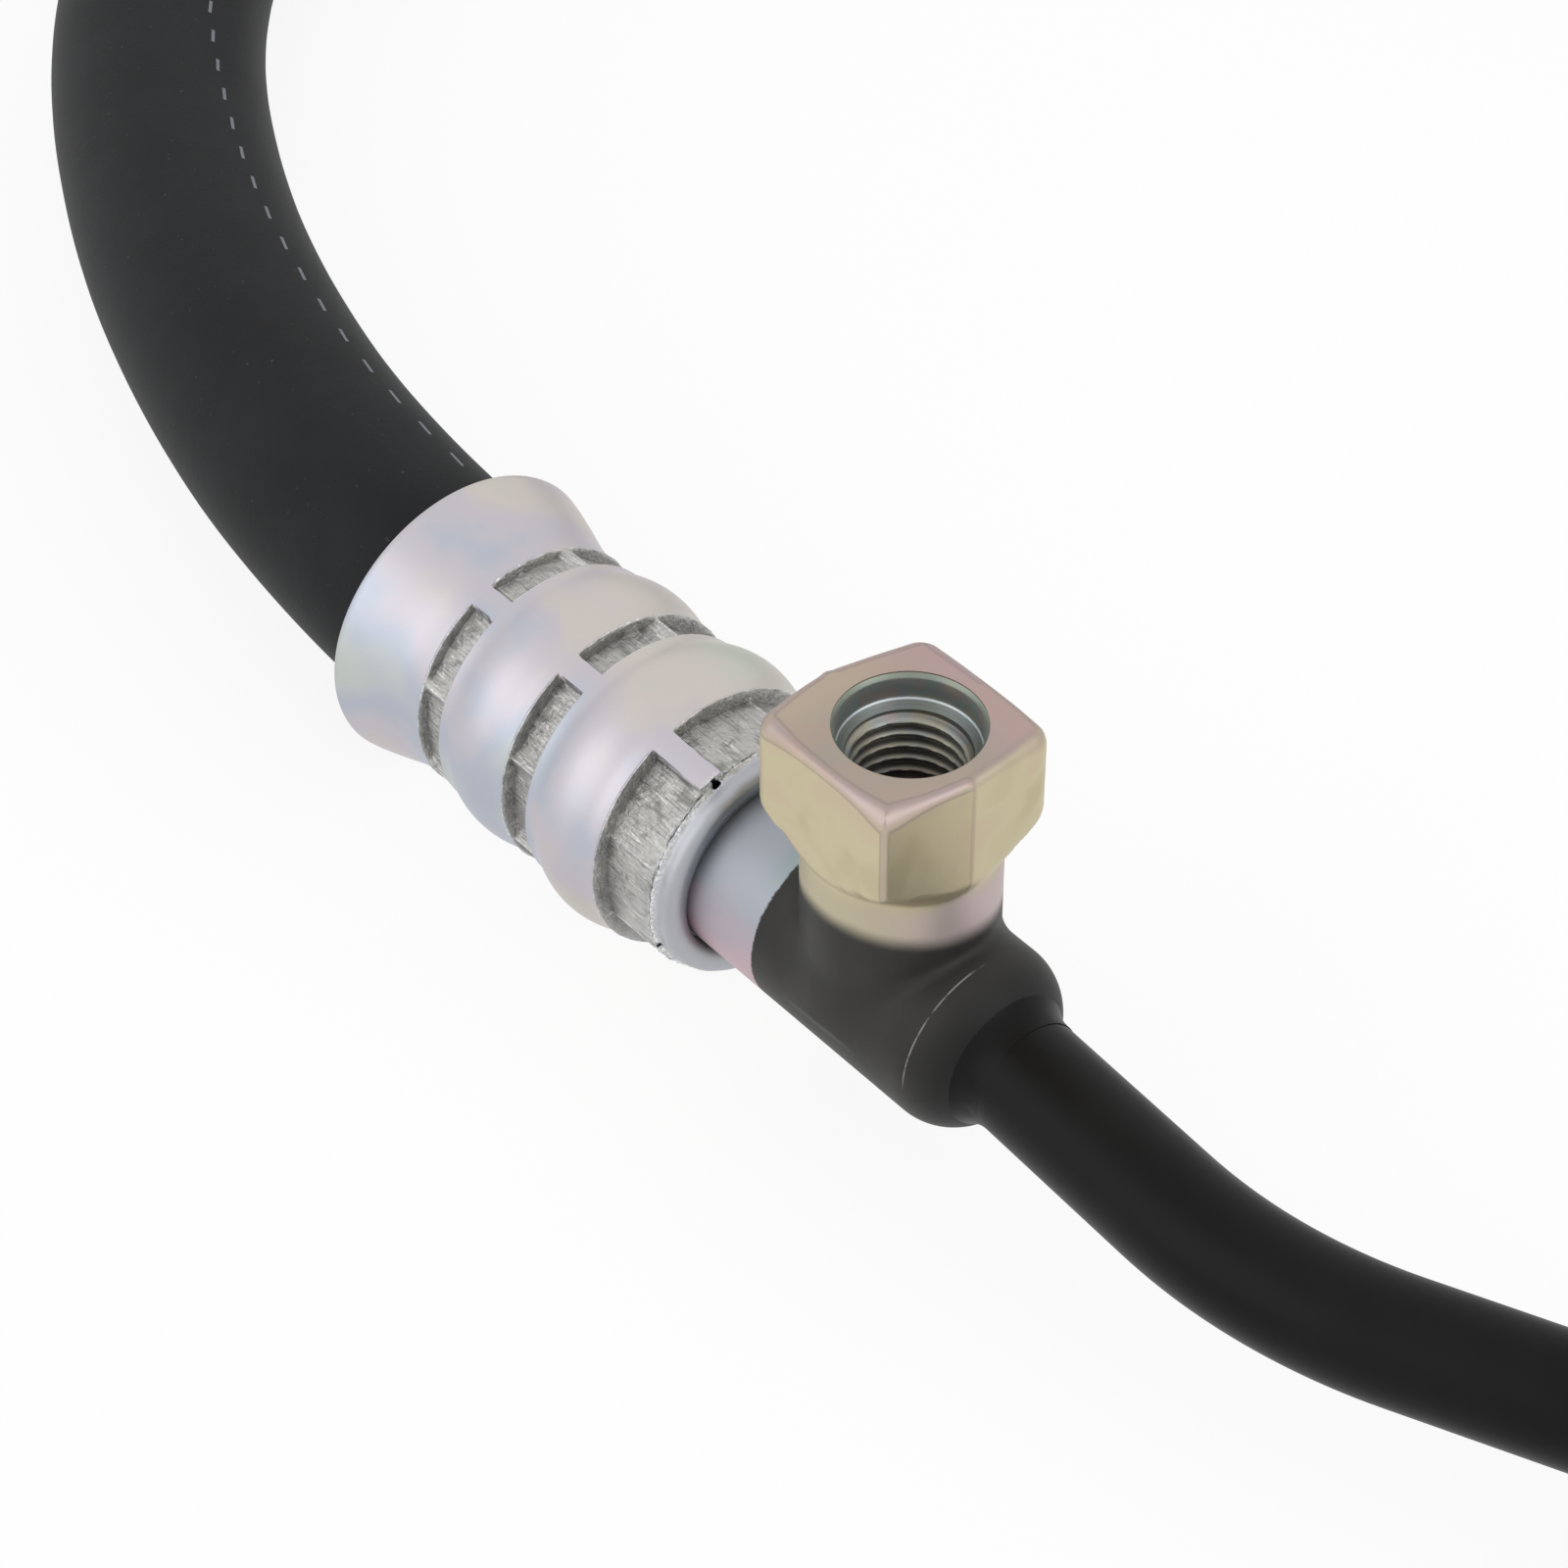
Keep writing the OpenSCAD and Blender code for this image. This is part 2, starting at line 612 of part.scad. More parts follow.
module banjo_solid() {
  x_eye = x_end + banjo_reach;
  eye_r = banjo_d / 2;
  difference() {
    union() {
      turned([
        [0, x_stem], [body_d / 2 - 0.3, x_stem], [body_d / 2, x_stem + 0.3],
        [body_d / 2, x_eye - eye_r + 3], [body_d / 2 - 1, x_eye], [0, x_eye]]);
      translate([x_eye, 0, axis_z])
        rotate_extrude()
          polygon([
            [0, -banjo_t / 2], [banjo_face_d / 2, -banjo_t / 2],
            [banjo_face_d / 2, banjo_face_h - banjo_t / 2], [eye_r - 0.8, banjo_face_h - banjo_t / 2],
            [eye_r, banjo_face_h + 0.8 - banjo_t / 2], [eye_r, banjo_t / 2 - banjo_face_h - 0.8],
            [eye_r - 0.8, banjo_t / 2 - banjo_face_h], [banjo_face_d / 2, banjo_t / 2 - banjo_face_h],
            [banjo_face_d / 2, banjo_t / 2], [0, banjo_t / 2]]);
    }
    stem_bores();
    turned([[0, x_stem], [nipple_bore_d / 2, x_stem], [nipple_bore_d / 2, x_eye], [0, x_eye]]);
    translate([x_eye, 0, axis_z - banjo_t])
      cylinder(d = banjo_bore_d, h = 2 * banjo_t);
  }
}

liner_r = liner_d / 2;
braid_1_r = liner_r + braid_t;
interlayer_r = braid_1_r + interlayer_t;
braid_2_r = interlayer_r + braid_t;

module ferrule() { color([0.74, 0.74, 0.77]) ferrule_solid(); }
module nipple() { color([0.7, 0.71, 0.72]) nipple_solid(); }
module nipple_braze_ring() { color([0.78, 0.62, 0.32]) braze_ring_solid(); }
module tee_body() { color([0.66, 0.6, 0.52]) tee_solid(); }
module tube_braze_fillet() { color([0.16, 0.16, 0.16]) tube_fillet_solid(); }
module steel_tube() { color([0.15, 0.15, 0.15]) tube_solid(); }
module tube_nut() { color([0.74, 0.74, 0.77]) nut_solid(); }
module tube_o_ring() { color([0.1, 0.1, 0.1]) o_ring_solid(); }
module hose_liner() { color([0.12, 0.12, 0.12]) hose_layer(hose_bore_d / 2, liner_r); }
module inner_braid() { color([0.85, 0.83, 0.76]) hose_layer(liner_r, braid_1_r); }
module interlayer() { color([0.16, 0.16, 0.16]) hose_layer(braid_1_r, interlayer_r); }
module outer_braid() { color([0.85, 0.83, 0.76]) hose_layer(interlayer_r, braid_2_r); }
module hose_cover() { color([0.18, 0.18, 0.19]) hose_layer(braid_2_r, hose_d / 2); }
module far_ferrule() { color([0.74, 0.74, 0.77]) far_end() ferrule_solid(); }
module far_nipple() { color([0.7, 0.71, 0.72]) far_end() nipple_solid(); }
module far_braze_ring() { color([0.78, 0.62, 0.32]) far_end() braze_ring_solid(); }
module banjo_eye() { color([0.72, 0.7, 0.66]) far_end() banjo_solid(); }

ferrule();
nipple();
nipple_braze_ring();
tee_body();
tube_braze_fillet();
steel_tube();
tube_nut();
tube_o_ring();
hose_liner();
inner_braid();
interlayer();
outer_braid();
hose_cover();
far_ferrule();
far_nipple();
far_braze_ring();
banjo_eye();
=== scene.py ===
# %% [markdown]
# # A hydraulic hose assembly, piece by piece
#
# A pressure hose of a steering system: a thick rubber hose crimped into a zinc
# plated ferrule, a forged tee with a threaded port for a switch, a painted steel
# tube with its union nut, and a banjo eye on the far end.
#
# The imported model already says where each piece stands. Here every piece that
# shows gets its fine shape and its finish. Lengths are written in millimetres
# and turned to metres where a mesh is made.

# %% Load the fixed frame
import math

import bmesh
import bpy
import numpy as np
from mathutils import Matrix, Vector, noise


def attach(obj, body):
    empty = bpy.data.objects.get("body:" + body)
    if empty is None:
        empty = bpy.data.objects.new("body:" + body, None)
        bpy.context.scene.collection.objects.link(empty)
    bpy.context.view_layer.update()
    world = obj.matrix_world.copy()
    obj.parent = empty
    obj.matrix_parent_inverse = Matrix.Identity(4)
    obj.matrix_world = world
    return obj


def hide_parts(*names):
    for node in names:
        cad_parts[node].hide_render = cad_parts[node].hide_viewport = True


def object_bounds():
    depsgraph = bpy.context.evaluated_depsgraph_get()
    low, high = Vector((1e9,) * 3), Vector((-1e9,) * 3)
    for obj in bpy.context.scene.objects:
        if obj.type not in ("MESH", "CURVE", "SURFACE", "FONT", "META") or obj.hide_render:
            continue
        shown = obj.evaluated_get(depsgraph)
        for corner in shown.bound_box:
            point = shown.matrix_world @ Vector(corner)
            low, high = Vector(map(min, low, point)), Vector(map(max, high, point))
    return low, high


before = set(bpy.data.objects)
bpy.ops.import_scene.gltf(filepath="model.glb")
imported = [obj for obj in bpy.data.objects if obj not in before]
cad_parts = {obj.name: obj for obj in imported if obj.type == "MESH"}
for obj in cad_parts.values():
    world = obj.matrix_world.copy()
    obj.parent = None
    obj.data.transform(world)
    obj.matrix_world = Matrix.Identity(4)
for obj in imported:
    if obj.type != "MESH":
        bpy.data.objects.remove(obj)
cad_low, cad_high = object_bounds()
MM = 0.001
AXIS_Z = -23.75
print("frame loaded, box in mm:", [round(v / MM, 1) for v in (*cad_low, *cad_high)])

# %% [markdown]
# ## The camera
#
# A long lens from above keeps the object's lines nearly parallel, as in a
# catalogue picture. The camera's three directions are given one by one, and the
# third is taken from the other two so that they stay square to each other.

# %% Set up the camera
camera_data = bpy.data.cameras.new("bench_camera")
camera_data.lens = 113.625
camera_data.sensor_width = 36
camera_data.clip_start, camera_data.clip_end = 0.01, 20
camera = bpy.data.objects.new("bench_camera", camera_data)
bpy.context.scene.collection.objects.link(camera)
to_camera = Vector((0.5590, -0.4733, 0.6807)).normalized()
to_right = Vector((0.6461, 0.7632, 0.0)).normalized()
to_top = to_camera.cross(to_right)
turn = Matrix((to_right, to_top, to_camera)).transposed().to_4x4()
camera.matrix_world = Matrix.Translation((0.2031, -0.1843, 0.2516)) @ turn
bpy.context.scene.camera = camera
print("camera stands at", [round(v, 3) for v in camera.location])

# %% [markdown]
# ## Small helpers for meshes
#
# Most pieces of a hose assembly are round: they are turned, drawn or crimped.
# Two helpers make them. `lathe` spins a closed outline about an axis.
# `hollow_sweep` carries two rings along a line, changing their radii on the way,
# and joins them at the ends. Both end in the same place: doubles merged, faces
# turned outwards, smooth shading with the true edges kept sharp.


# %% Helpers: finish a mesh and hang it in the scene
def mesh_from(name, bm):
    """Turns a bmesh into a mesh, with doubles merged and faces turned outwards."""
    bmesh.ops.remove_doubles(bm, verts=bm.verts, dist=1e-7)
    bmesh.ops.recalc_face_normals(bm, faces=bm.faces)
    mesh = bpy.data.meshes.new(name)
    bm.to_mesh(mesh)
    bm.free()
    return mesh


def add_mesh(name, mesh, material, smooth_under):
    """Shades a mesh and links it as a new object at the origin."""
    mesh.shade_smooth()
    mesh.set_sharp_from_angle(angle=math.radians(smooth_under))
    mesh.materials.clear()
    mesh.materials.append(material)
    piece = bpy.data.objects.new(name, mesh)
    bpy.context.scene.collection.objects.link(piece)
    print(name, "has", len(mesh.polygons), "faces")
    return piece


def points_of(mesh):
    """All points of a mesh in mm, as rows of x, y, z."""
    flat = np.empty(len(mesh.vertices) * 3, dtype=np.float64)
    mesh.vertices.foreach_get("co", flat)
    return flat.reshape(-1, 3) / MM


def move_points(mesh, points):
    mesh.vertices.foreach_set("co", (points * MM).astype(np.float32).ravel())
    mesh.update()


def mark_points(mesh, **numbers):
    """Stores named numbers on each point, for a material to read."""
    for name, values in numbers.items():
        layer = mesh.attributes.new(name, "FLOAT", "POINT")
        layer.data.foreach_set("value", np.asarray(values, dtype=np.float32))


def ramp01(value, low, high):
    """0 below low, 1 above high, and a soft slope between them."""
    t = np.clip((value - low) / (high - low), 0, 1)
    return t * t * (3 - 2 * t)


def bell(value, middle, width):
    return np.exp(-((value - middle) / width) ** 2)


def wobble(points, pitch):
    """Smooth noise at each point, finer for a higher pitch."""
    return np.array([noise.noise(Vector(p * pitch)) for p in points])


# %% Helpers: the lathe and the sweep
def lathe(outline, centre, axis, steps):
    """Spins a closed outline of (station, radius) pairs about an axis."""
    axis = Vector(axis).normalized()
    centre = Vector(centre)
    out = Vector((0, 0, 1)) if abs(axis.z) < 0.9 else Vector((1, 0, 0))
    out = (out - axis * out.dot(axis)).normalized()
    bm = bmesh.new()
    ring = [bm.verts.new((centre + axis * s + out * r) * MM) for s, r in outline]
    edges = [bm.edges.new((ring[i], ring[(i + 1) % len(ring)])) for i in range(len(ring))]
    bmesh.ops.spin(bm, geom=ring + edges, cent=centre * MM, axis=axis, dvec=(0, 0, 0),
                   angle=2 * math.pi, steps=steps, use_merge=True, use_duplicate=False)
    return bm


def sweep_ring(bm, line, radii, sides):
    """Carries a ring along a line of points. Gives back its first and last edges."""
    def place(i):
        here = Vector(line[i])
        ahead = (Vector(line[min(i + 1, len(line) - 1)]) - Vector(line[max(i - 1, 0)])).normalized()
        side = Vector((0, 0, 1)).cross(ahead).normalized()
        turn = Matrix((side, ahead.cross(side), ahead)).transposed().to_4x4()
        return Matrix.Translation(here * MM) @ turn

    made = bmesh.ops.create_circle(bm, segments=sides, radius=radii[0] * MM, matrix=place(0))
    first = edges = list({e for v in made["verts"] for e in v.link_edges})
    for i in range(1, len(line)):
        made = bmesh.ops.extrude_edge_only(bm, edges=edges)["geom"]
        verts = [g for g in made if isinstance(g, bmesh.types.BMVert)]
        moved = set(verts)
        edges = [g for g in made if isinstance(g, bmesh.types.BMEdge) and moved.issuperset(g.verts)]
        bmesh.ops.transform(bm, matrix=place(i) @ place(i - 1).inverted(), verts=verts)
        grow = radii[i] / radii[i - 1]
        if abs(grow - 1) > 1e-9:
            bmesh.ops.scale(bm, vec=(grow, grow, grow), verts=verts,
                            space=Matrix.Translation(Vector(line[i]) * -MM))
    return first, edges


def hollow_sweep(line, outside, inside, sides):
    """A tube with a wall: two swept rings, joined point to nearest point at both ends."""
    bm = bmesh.new()
    outer = sweep_ring(bm, line, outside, sides)
    inner = sweep_ring(bm, line, inside, sides)
    for outer_rim, inner_rim in zip(outer, inner):
        inner_verts = list({v for e in inner_rim for v in e.verts})
        rim_verts = {v for e in outer_rim for v in e.verts}
        partner = {v: min(inner_verts, key=lambda w: (w.co - v.co).length) for v in rim_verts}
        for edge in outer_rim:
            a, b = edge.verts
            bm.faces.new((a, b, partner[b], partner[a]))
    return bm


# %% [markdown]
# ## Small helpers for finishes
#
# A finish is a Principled shader with a few textures behind it. Colours are
# picked as they look on a screen, from 0 to 255, so `shade` turns them into the
# light values that Blender wants. A `Signal` is what one node gives to the next.
# Each sum or product of signals adds a node, so a recipe reads like arithmetic.
# Effects that many finishes share are built once as node groups: a fine grain,
# and the cloudy pastel tint of a thin passivated layer on zinc.


# %% Helpers: signals between nodes
def node(tree, kind, **settings):
    made = tree.nodes.new(kind)
    for name, value in settings.items():
        setattr(made, name, value)
    return made


def feed(made, which, value):
    """Links a signal to an input of a node, or writes a plain value there."""
    if isinstance(value, Signal):
        value.tree.links.new(value.socket, made.inputs[which])
    else:
        made.inputs[which].default_value = value


class Signal:
    """The output of a node. Arithmetic on it adds nodes to the same tree."""

    def __init__(self, socket):
        self.socket, self.tree = socket, socket.id_data

    def maths(self, operation, *values, clamp=False):
        made = node(self.tree, "ShaderNodeMath", operation=operation, use_clamp=clamp)
        for which, value in enumerate(values):
            feed(made, which, value)
        return Signal(made.outputs[0])

    def __add__(self, other):
        return self.maths("ADD", self, other)

    def __sub__(self, other):
        return self.maths("SUBTRACT", self, other)

    def __rsub__(self, other):
        return self.maths("SUBTRACT", other, self)

    def __mul__(self, other):
        return self.maths("MULTIPLY", self, other)

    def __truediv__(self, other):
        return self.maths("DIVIDE", self, other)

    def __lt__(self, other):
        return self.maths("LESS_THAN", self, other)

    def __gt__(self, other):
        return self.maths("GREATER_THAN", self, other)

    def __abs__(self):
        return self.maths("ABSOLUTE", self)

    def step(self, low, high):
        """0 below low, 1 above high, and a soft slope between them."""
        made = node(self.tree, "ShaderNodeMapRange", interpolation_type="SMOOTHSTEP")
        feed(made, "Value", self)
        feed(made, "From Min", low)
        feed(made, "From Max", high)
        return Signal(made.outputs["Result"])


# %% Helpers: colours and textures
def shade(red, green, blue):
    """A screen colour as light values."""
    return tuple(((c / 255 + 0.055) / 1.055) ** 2.4 if c > 10 else c / 255 / 12.92
                 for c in (red, green, blue)) + (1.0,)


def blend(share, first, second):
    """The first colour where the share is 0, the second where it is 1."""
    made = node(share.tree, "ShaderNodeMix", data_type="RGBA")
    for which, value in ((0, share), (6, first), (7, second)):
        feed(made, which, value)
    return Signal(made.outputs[2])


def colour_steps(value, *steps):
    """A colour ramp from steps of (place, red, green, blue)."""
    made = node(value.tree, "ShaderNodeValToRGB")
    ramp = made.color_ramp
    ramp.interpolation = "EASE"
    while len(ramp.elements) < len(steps):
        ramp.elements.new(0.5)
    for element, (place, *colour) in zip(ramp.elements, steps):
        element.position, element.color = place, shade(*colour)
    feed(made, 0, value)
    return Signal(made.outputs[0])


def cloud(place, size, detail=3.0, rough=0.5, twist=0.0):
    """Noise with features of about this size in mm, from 0 to 1."""
    made = node(place.tree, "ShaderNodeTexNoise")
    settings = {"Vector": place, "Scale": 1 / MM / size, "Detail": detail, "Roughness": rough,
                "Distortion": twist}
    for which, value in settings.items():
        feed(made, which, value)
    return Signal(made.outputs["Fac"])


def stretched(place, scale=(1, 1, 1), offset=(0, 0, 0)):
    made = node(place.tree, "ShaderNodeMapping")
    for which, value in (("Vector", place), ("Scale", scale), ("Location", offset)):
        feed(made, which, value)
    return Signal(made.outputs[0])


def marks(place, *names):
    """The numbers that the mesh carries under these names."""
    readers = [node(place.tree, "ShaderNodeAttribute", attribute_name=name) for name in names]
    return [Signal(reader.outputs["Fac"]) for reader in readers]


def in_mm(place):
    """The x, y and z of a point as three signals in mm."""
    split = node(place.tree, "ShaderNodeSeparateXYZ")
    feed(split, 0, place)
    return [Signal(socket) * (1 / MM) for socket in split.outputs]


# %% Helpers: materials and node groups
def new_finish(name, roughness, metallic=0.0):
    """A material with its Principled shader and object coordinates at hand."""
    finish = bpy.data.materials.new(name)
    finish.use_nodes = True
    shader = finish.node_tree.nodes["Principled BSDF"]
    feed(shader, "Roughness", roughness)
    feed(shader, "Metallic", metallic)
    coordinates = node(finish.node_tree, "ShaderNodeTexCoord").outputs["Object"]
    return finish, shader, Signal(coordinates)


def roughen(shader, height, strength, depth_mm):
    """Feeds a height into a bump in front of the shader."""
    bump = node(shader.id_data, "ShaderNodeBump")
    for which, value in (("Strength", strength), ("Distance", depth_mm * MM), ("Height", height)):
        feed(bump, which, value)
    feed(shader, "Normal", Signal(bump.outputs["Normal"]))


def new_group(name, inputs, outputs):
    """An empty node group, its inputs as signals, and the node that takes its outputs."""
    group = bpy.data.node_groups.new(name, "ShaderNodeTree")
    for direction, sockets in (("INPUT", inputs), ("OUTPUT", outputs)):
        for label, kind in sockets:
            group.interface.new_socket(label, in_out=direction, socket_type="NodeSocket" + kind)
    entry, leave = group.nodes.new("NodeGroupInput"), group.nodes.new("NodeGroupOutput")
    return group, [Signal(entry.outputs[label]) for label, _ in inputs], leave


def use_group(group, place, **more):
    """Places a node group and gives back its outputs as signals."""
    made = node(place.tree, "ShaderNodeGroup")
    made.node_tree = group
    feed(made, "Vector", place)
    for name, value in more.items():
        feed(made, name.capitalize(), value)
    return [Signal(socket) for socket in made.outputs]


# %% [markdown]
# ## The tint of passivated zinc
#
# Zinc plate is dipped in a passivating bath, which leaves a layer thinner than a
# wavelength of light. It makes pastel clouds of pink, lavender, blue and pale
# green that wander over the metal. Two noises of different size, added to each
# other, walk up and down a ramp of those colours. The ramp is kept close to grey,
# because the real tint is faint. `Lean` shifts the walk towards one end.

# %% Node group: pastel clouds
pastel, (vector, lean), leave = new_group(
    "pastel_clouds", [("Vector", "Vector"), ("Lean", "Float")], [("Color", "Color")])
walk = cloud(vector, 6, detail=2.0) * 0.35 + cloud(vector, 17, detail=1.0, twist=0.6) * 0.75 + lean
tint = colour_steps(walk, (0.22, 196, 200, 189), (0.38, 203, 196, 191), (0.50, 196, 191, 198),
                    (0.60, 183, 188, 199), (0.72, 193, 199, 196), (0.86, 200, 200, 189))
feed(leave, "Color", tint)
print("made the group", pastel.name)

# %% Node group: fine grain and scratches
grain, (vector,), leave = new_group(
    "grain_and_scratches", [("Vector", "Vector")], [("Grain", "Float"), ("Scratches", "Float")])
along = stretched(vector, scale=(0.5, 3.0, 3.0))
across = stretched(vector, scale=(3.0, 0.6, 0.8), offset=(0.3, 0.1, 0.7))
long_marks = cloud(along, 1.1, detail=5.0, rough=0.65, twist=2.6)
cross_marks = cloud(across, 1.7, detail=6.0, rough=0.7, twist=3.4)
feed(leave, "Grain", cloud(vector, 0.35, detail=4.0, rough=0.6))
feed(leave, "Scratches", long_marks * 0.4 + cross_marks * 0.6)
print("made the group", grain.name)

# %% [markdown]
# ## Finish of the ferrule
#
# The ferrule is plated before it is crimped. The jaws then rub the zinc off, so
# the prints are bare, scratched, darker steel, and their burrs get a painted
# glint. The mesh carries the numbers for this on its points: `bare` is 1 inside a
# print, `wall` on its steep side, which gets painted shade, another on a raised
# burr, which is painted near white as a glint, and another in a gap at the lip,
# which is painted near black as its shadow. Painted shade darkens the turned-in
# lip, most at the top and towards the stem, and `lean` shifts the tint round the sleeve.

# %% Finish: zinc with bare prints
zinc_ferrule, shader, place = new_finish("zinc_ferrule", 0.36, 1.0)
bare, wall, burr, crack, nose, lean = marks(place, "bare", "wall", "burr", "crack", "nose", "lean")
speck, scratches = use_group(grain, place)
(clouds,) = use_group(pastel, place, lean=lean)
one_way = cloud(stretched(place, scale=(0.40, 3.4, 3.4)), 0.9, detail=5.0, rough=0.6, twist=0.8)
steel = colour_steps(one_way, (0.30, 136, 135, 133), (0.50, 178, 177, 175), (0.70, 222, 221, 218))
patch = cloud(place, 2.2, twist=0.8)
steel = blend(patch.step(0.45, 0.62), steel, shade(188, 187, 184))
steel = blend(1.0 - patch.step(0.28, 0.44), steel, shade(142, 142, 138))
# painted shade: the steep walls of the prints are darkened
steel = blend(wall * 0.5, steel, shade(92, 92, 90))
# the lip's dull grey, darkened by painted shade where its mark is high
lip_grey_in_shade = colour_steps(nose, (0.0, 192, 193, 198), (0.3, 176, 178, 184), (0.8, 160, 165, 170),
                    (1.0, 110, 114, 117))
lip_grey_in_shade = blend(scratches.step(0.45, 0.6) * 0.35, lip_grey_in_shade, shade(176, 174, 176))
metal = blend(nose.step(0.0, 0.015), clouds, lip_grey_in_shade)
metal = blend(bare, metal, steel)
torn = cloud(place, 0.28, detail=2.0).step(0.44, 0.52)
# painted glint: the torn burrs are painted near white
metal = blend(burr * (torn * 0.75 + 0.25), metal, shade(240, 242, 241))
# painted shadow: the gaps at the lip are painted near black
metal = blend((crack - cloud(place, 0.5) * 0.5).step(0.12, 0.20), metal, shade(10, 10, 10))
feed(shader, "Base Color", metal)
feed(shader, "Roughness", (one_way * 0.30 + 0.22) * bare + (1.0 - bare) * 0.46)
relief = one_way + cloud(place, 0.7, twist=1.0) * 0.8
roughen(shader, relief * bare * 1.3 + speck * 0.05 + torn * burr * 0.6, 0.55, 0.25)
print("made the finish", zinc_ferrule.name)

# %% [markdown]
# ## The ferrule
#
# A ferrule starts as a turned sleeve. Eight jaws with a large radius close on
# three bands of it and leave flat-looking prints, with sharp ridges where two
# jaws meet and one wide bridge where the two halves of the tool meet. Between
# the bands the metal bulges out.
#
# So it is made in the same order. First the sleeve is spun on the lathe, with
# many narrow rows where the jaws will bite. Then every outside point asks which
# jaw it is under, and moves in to that jaw's face. The radii come from one
# formula each, so the prints keep crisp edges at any resolution.

# %% The sleeve before crimping
X_END, X_LIP, X_BAND_1, X_BULGE_1 = -16.3, -18.4, -23.9, -33.0
X_BAND_2, X_BULGE_2, X_BAND_3, X_RIM = -36.0, -44.8, -47.6, -57.0
BAND_R, SKIRT_R, WALL, RISE_1, RISE_2 = 10.9, 13.5, 1.6, 1.94, 1.54
CAVITY_R, WEB_R, LIP_R, ROLL_R = 9.3, 7.05, 8.14, 1.1


def bulge(x, x0, x1, rise):
    """Radius of a bulge: part of a ball between two stations."""
    half, middle = abs(x1 - x0) / 2, (x0 + x1) / 2
    ball = (half ** 2 + rise ** 2) / (2 * rise)
    return BAND_R + rise - ball + np.sqrt(np.clip(ball ** 2 - (x - middle) ** 2, 0, None))


def soft_max(a, b, k):
    return (a + b + np.sqrt((a - b) ** 2 + k * k)) / 2


def skirt(x):
    """Radius of the flared skirt."""
    share = np.clip((X_BAND_3 - x) / (X_BAND_3 - X_RIM), 0, 1)
    rise = np.interp(share, [0, 0.12, 0.335, 0.676, 0.883, 1], [0, 0.075, 0.31, 0.708, 0.915, 1.0])
    return BAND_R + rise * (SKIRT_R - BAND_R)


def sleeve(x):
    """Outside radius where no jaw has pressed."""
    x = np.asarray(x, dtype=float)
    valley = np.interp(x, [X_BAND_3, X_BULGE_2, X_BULGE_1, X_BAND_1, X_LIP], [11.5, 11.7, 11.9, 12.0, 11.3])
    lobes = np.maximum(bulge(x, X_BAND_1, X_BULGE_1, RISE_1), bulge(x, X_BAND_2, X_BULGE_2, RISE_2))
    return np.minimum(soft_max(np.maximum(lobes, skirt(x)), valley, 0.35), SKIRT_R)


def stations():
    """Rows along the sleeve: fine in the bands, finer at their edges."""
    rows = list(np.arange(X_RIM + 0.3, X_BAND_3 - 0.5, 0.42))
    for a, b in ((X_BAND_3, X_BULGE_2), (X_BAND_2, X_BULGE_1), (X_BAND_1, X_LIP)):
        rows += list(np.arange(a - 0.4, a + 0.2, 0.065))
        rows += list(np.arange(a + 0.2, b - 0.2, 0.19))
        rows += list(np.arange(b - 0.2, min(b + 0.4, X_LIP), 0.065))
    rows += list(np.arange(X_BULGE_2 + 0.4, X_BAND_2 - 0.4, 0.36))
    rows += list(np.arange(X_BULGE_1 + 0.4, X_BAND_1 - 0.4, 0.36))
    return sorted(set(round(float(x), 4) for x in rows))


outline = [(X_RIM, SKIRT_R - WALL + 0.35), (X_RIM, SKIRT_R - 0.35), (X_RIM + 0.09, SKIRT_R - 0.12)]
outline += [(x, float(sleeve(x))) for x in stations() if X_RIM + 0.25 < x < X_LIP]
outline += [(X_LIP, BAND_R), (X_LIP + 0.06, 10.72), (X_LIP + 0.14, 10.58), (X_LIP + 0.3, 10.5)]
outline += [(x, 10.47) for x in np.arange(X_LIP + 0.45, X_END - 1.15, 0.15)]
outline += [(X_END - ROLL_R + ROLL_R * math.sin(a), 9.37 + ROLL_R * math.cos(a))
            for a in np.linspace(0, math.pi / 2, 9)]
outline += [(X_END, 9.1), (X_END - 0.12, 8.72), (X_END - 0.38, 8.38), (X_END - 0.75, 8.2),
            (X_END - 1.2, LIP_R)]
outline += [(-18.25, LIP_R), (-18.3, WEB_R), (-23.8, WEB_R), (-23.8, 8.25), (-24.75, CAVITY_R)]
outline += [(x, float(bulge(x, -24.75, X_BULGE_1, RISE_1)) - WALL) for x in np.linspace(-25.2, -32.6, 9)]
outline += [(X_BULGE_1, CAVITY_R), (X_BAND_2, CAVITY_R)]
outline += [(x, float(bulge(x, X_BAND_2, X_BULGE_2, RISE_2)) - WALL) for x in np.linspace(-36.5, -44.3, 8)]
outline += [(X_BULGE_2, CAVITY_R), (X_BAND_3, CAVITY_R)]
outline += [(x, float(skirt(x)) - WALL) for x in np.linspace(-48.7, -56.6, 8)]
print("outline of the sleeve has", len(outline), "points")

# %% Close the jaws on it
JAW_FACE, JAW_DEPTH, HALF_JAW = 16.0, 5.25, 22.5
# each band: where it starts and ends, how high its ridges stand and how steeply they fall
BANDS = ((X_BAND_3, X_BULGE_2, 11.75, 0.85), (X_BAND_2, X_BULGE_1, 11.75, 0.85),
         (X_BAND_1, X_LIP + 0.02, 11.10, 0.8))


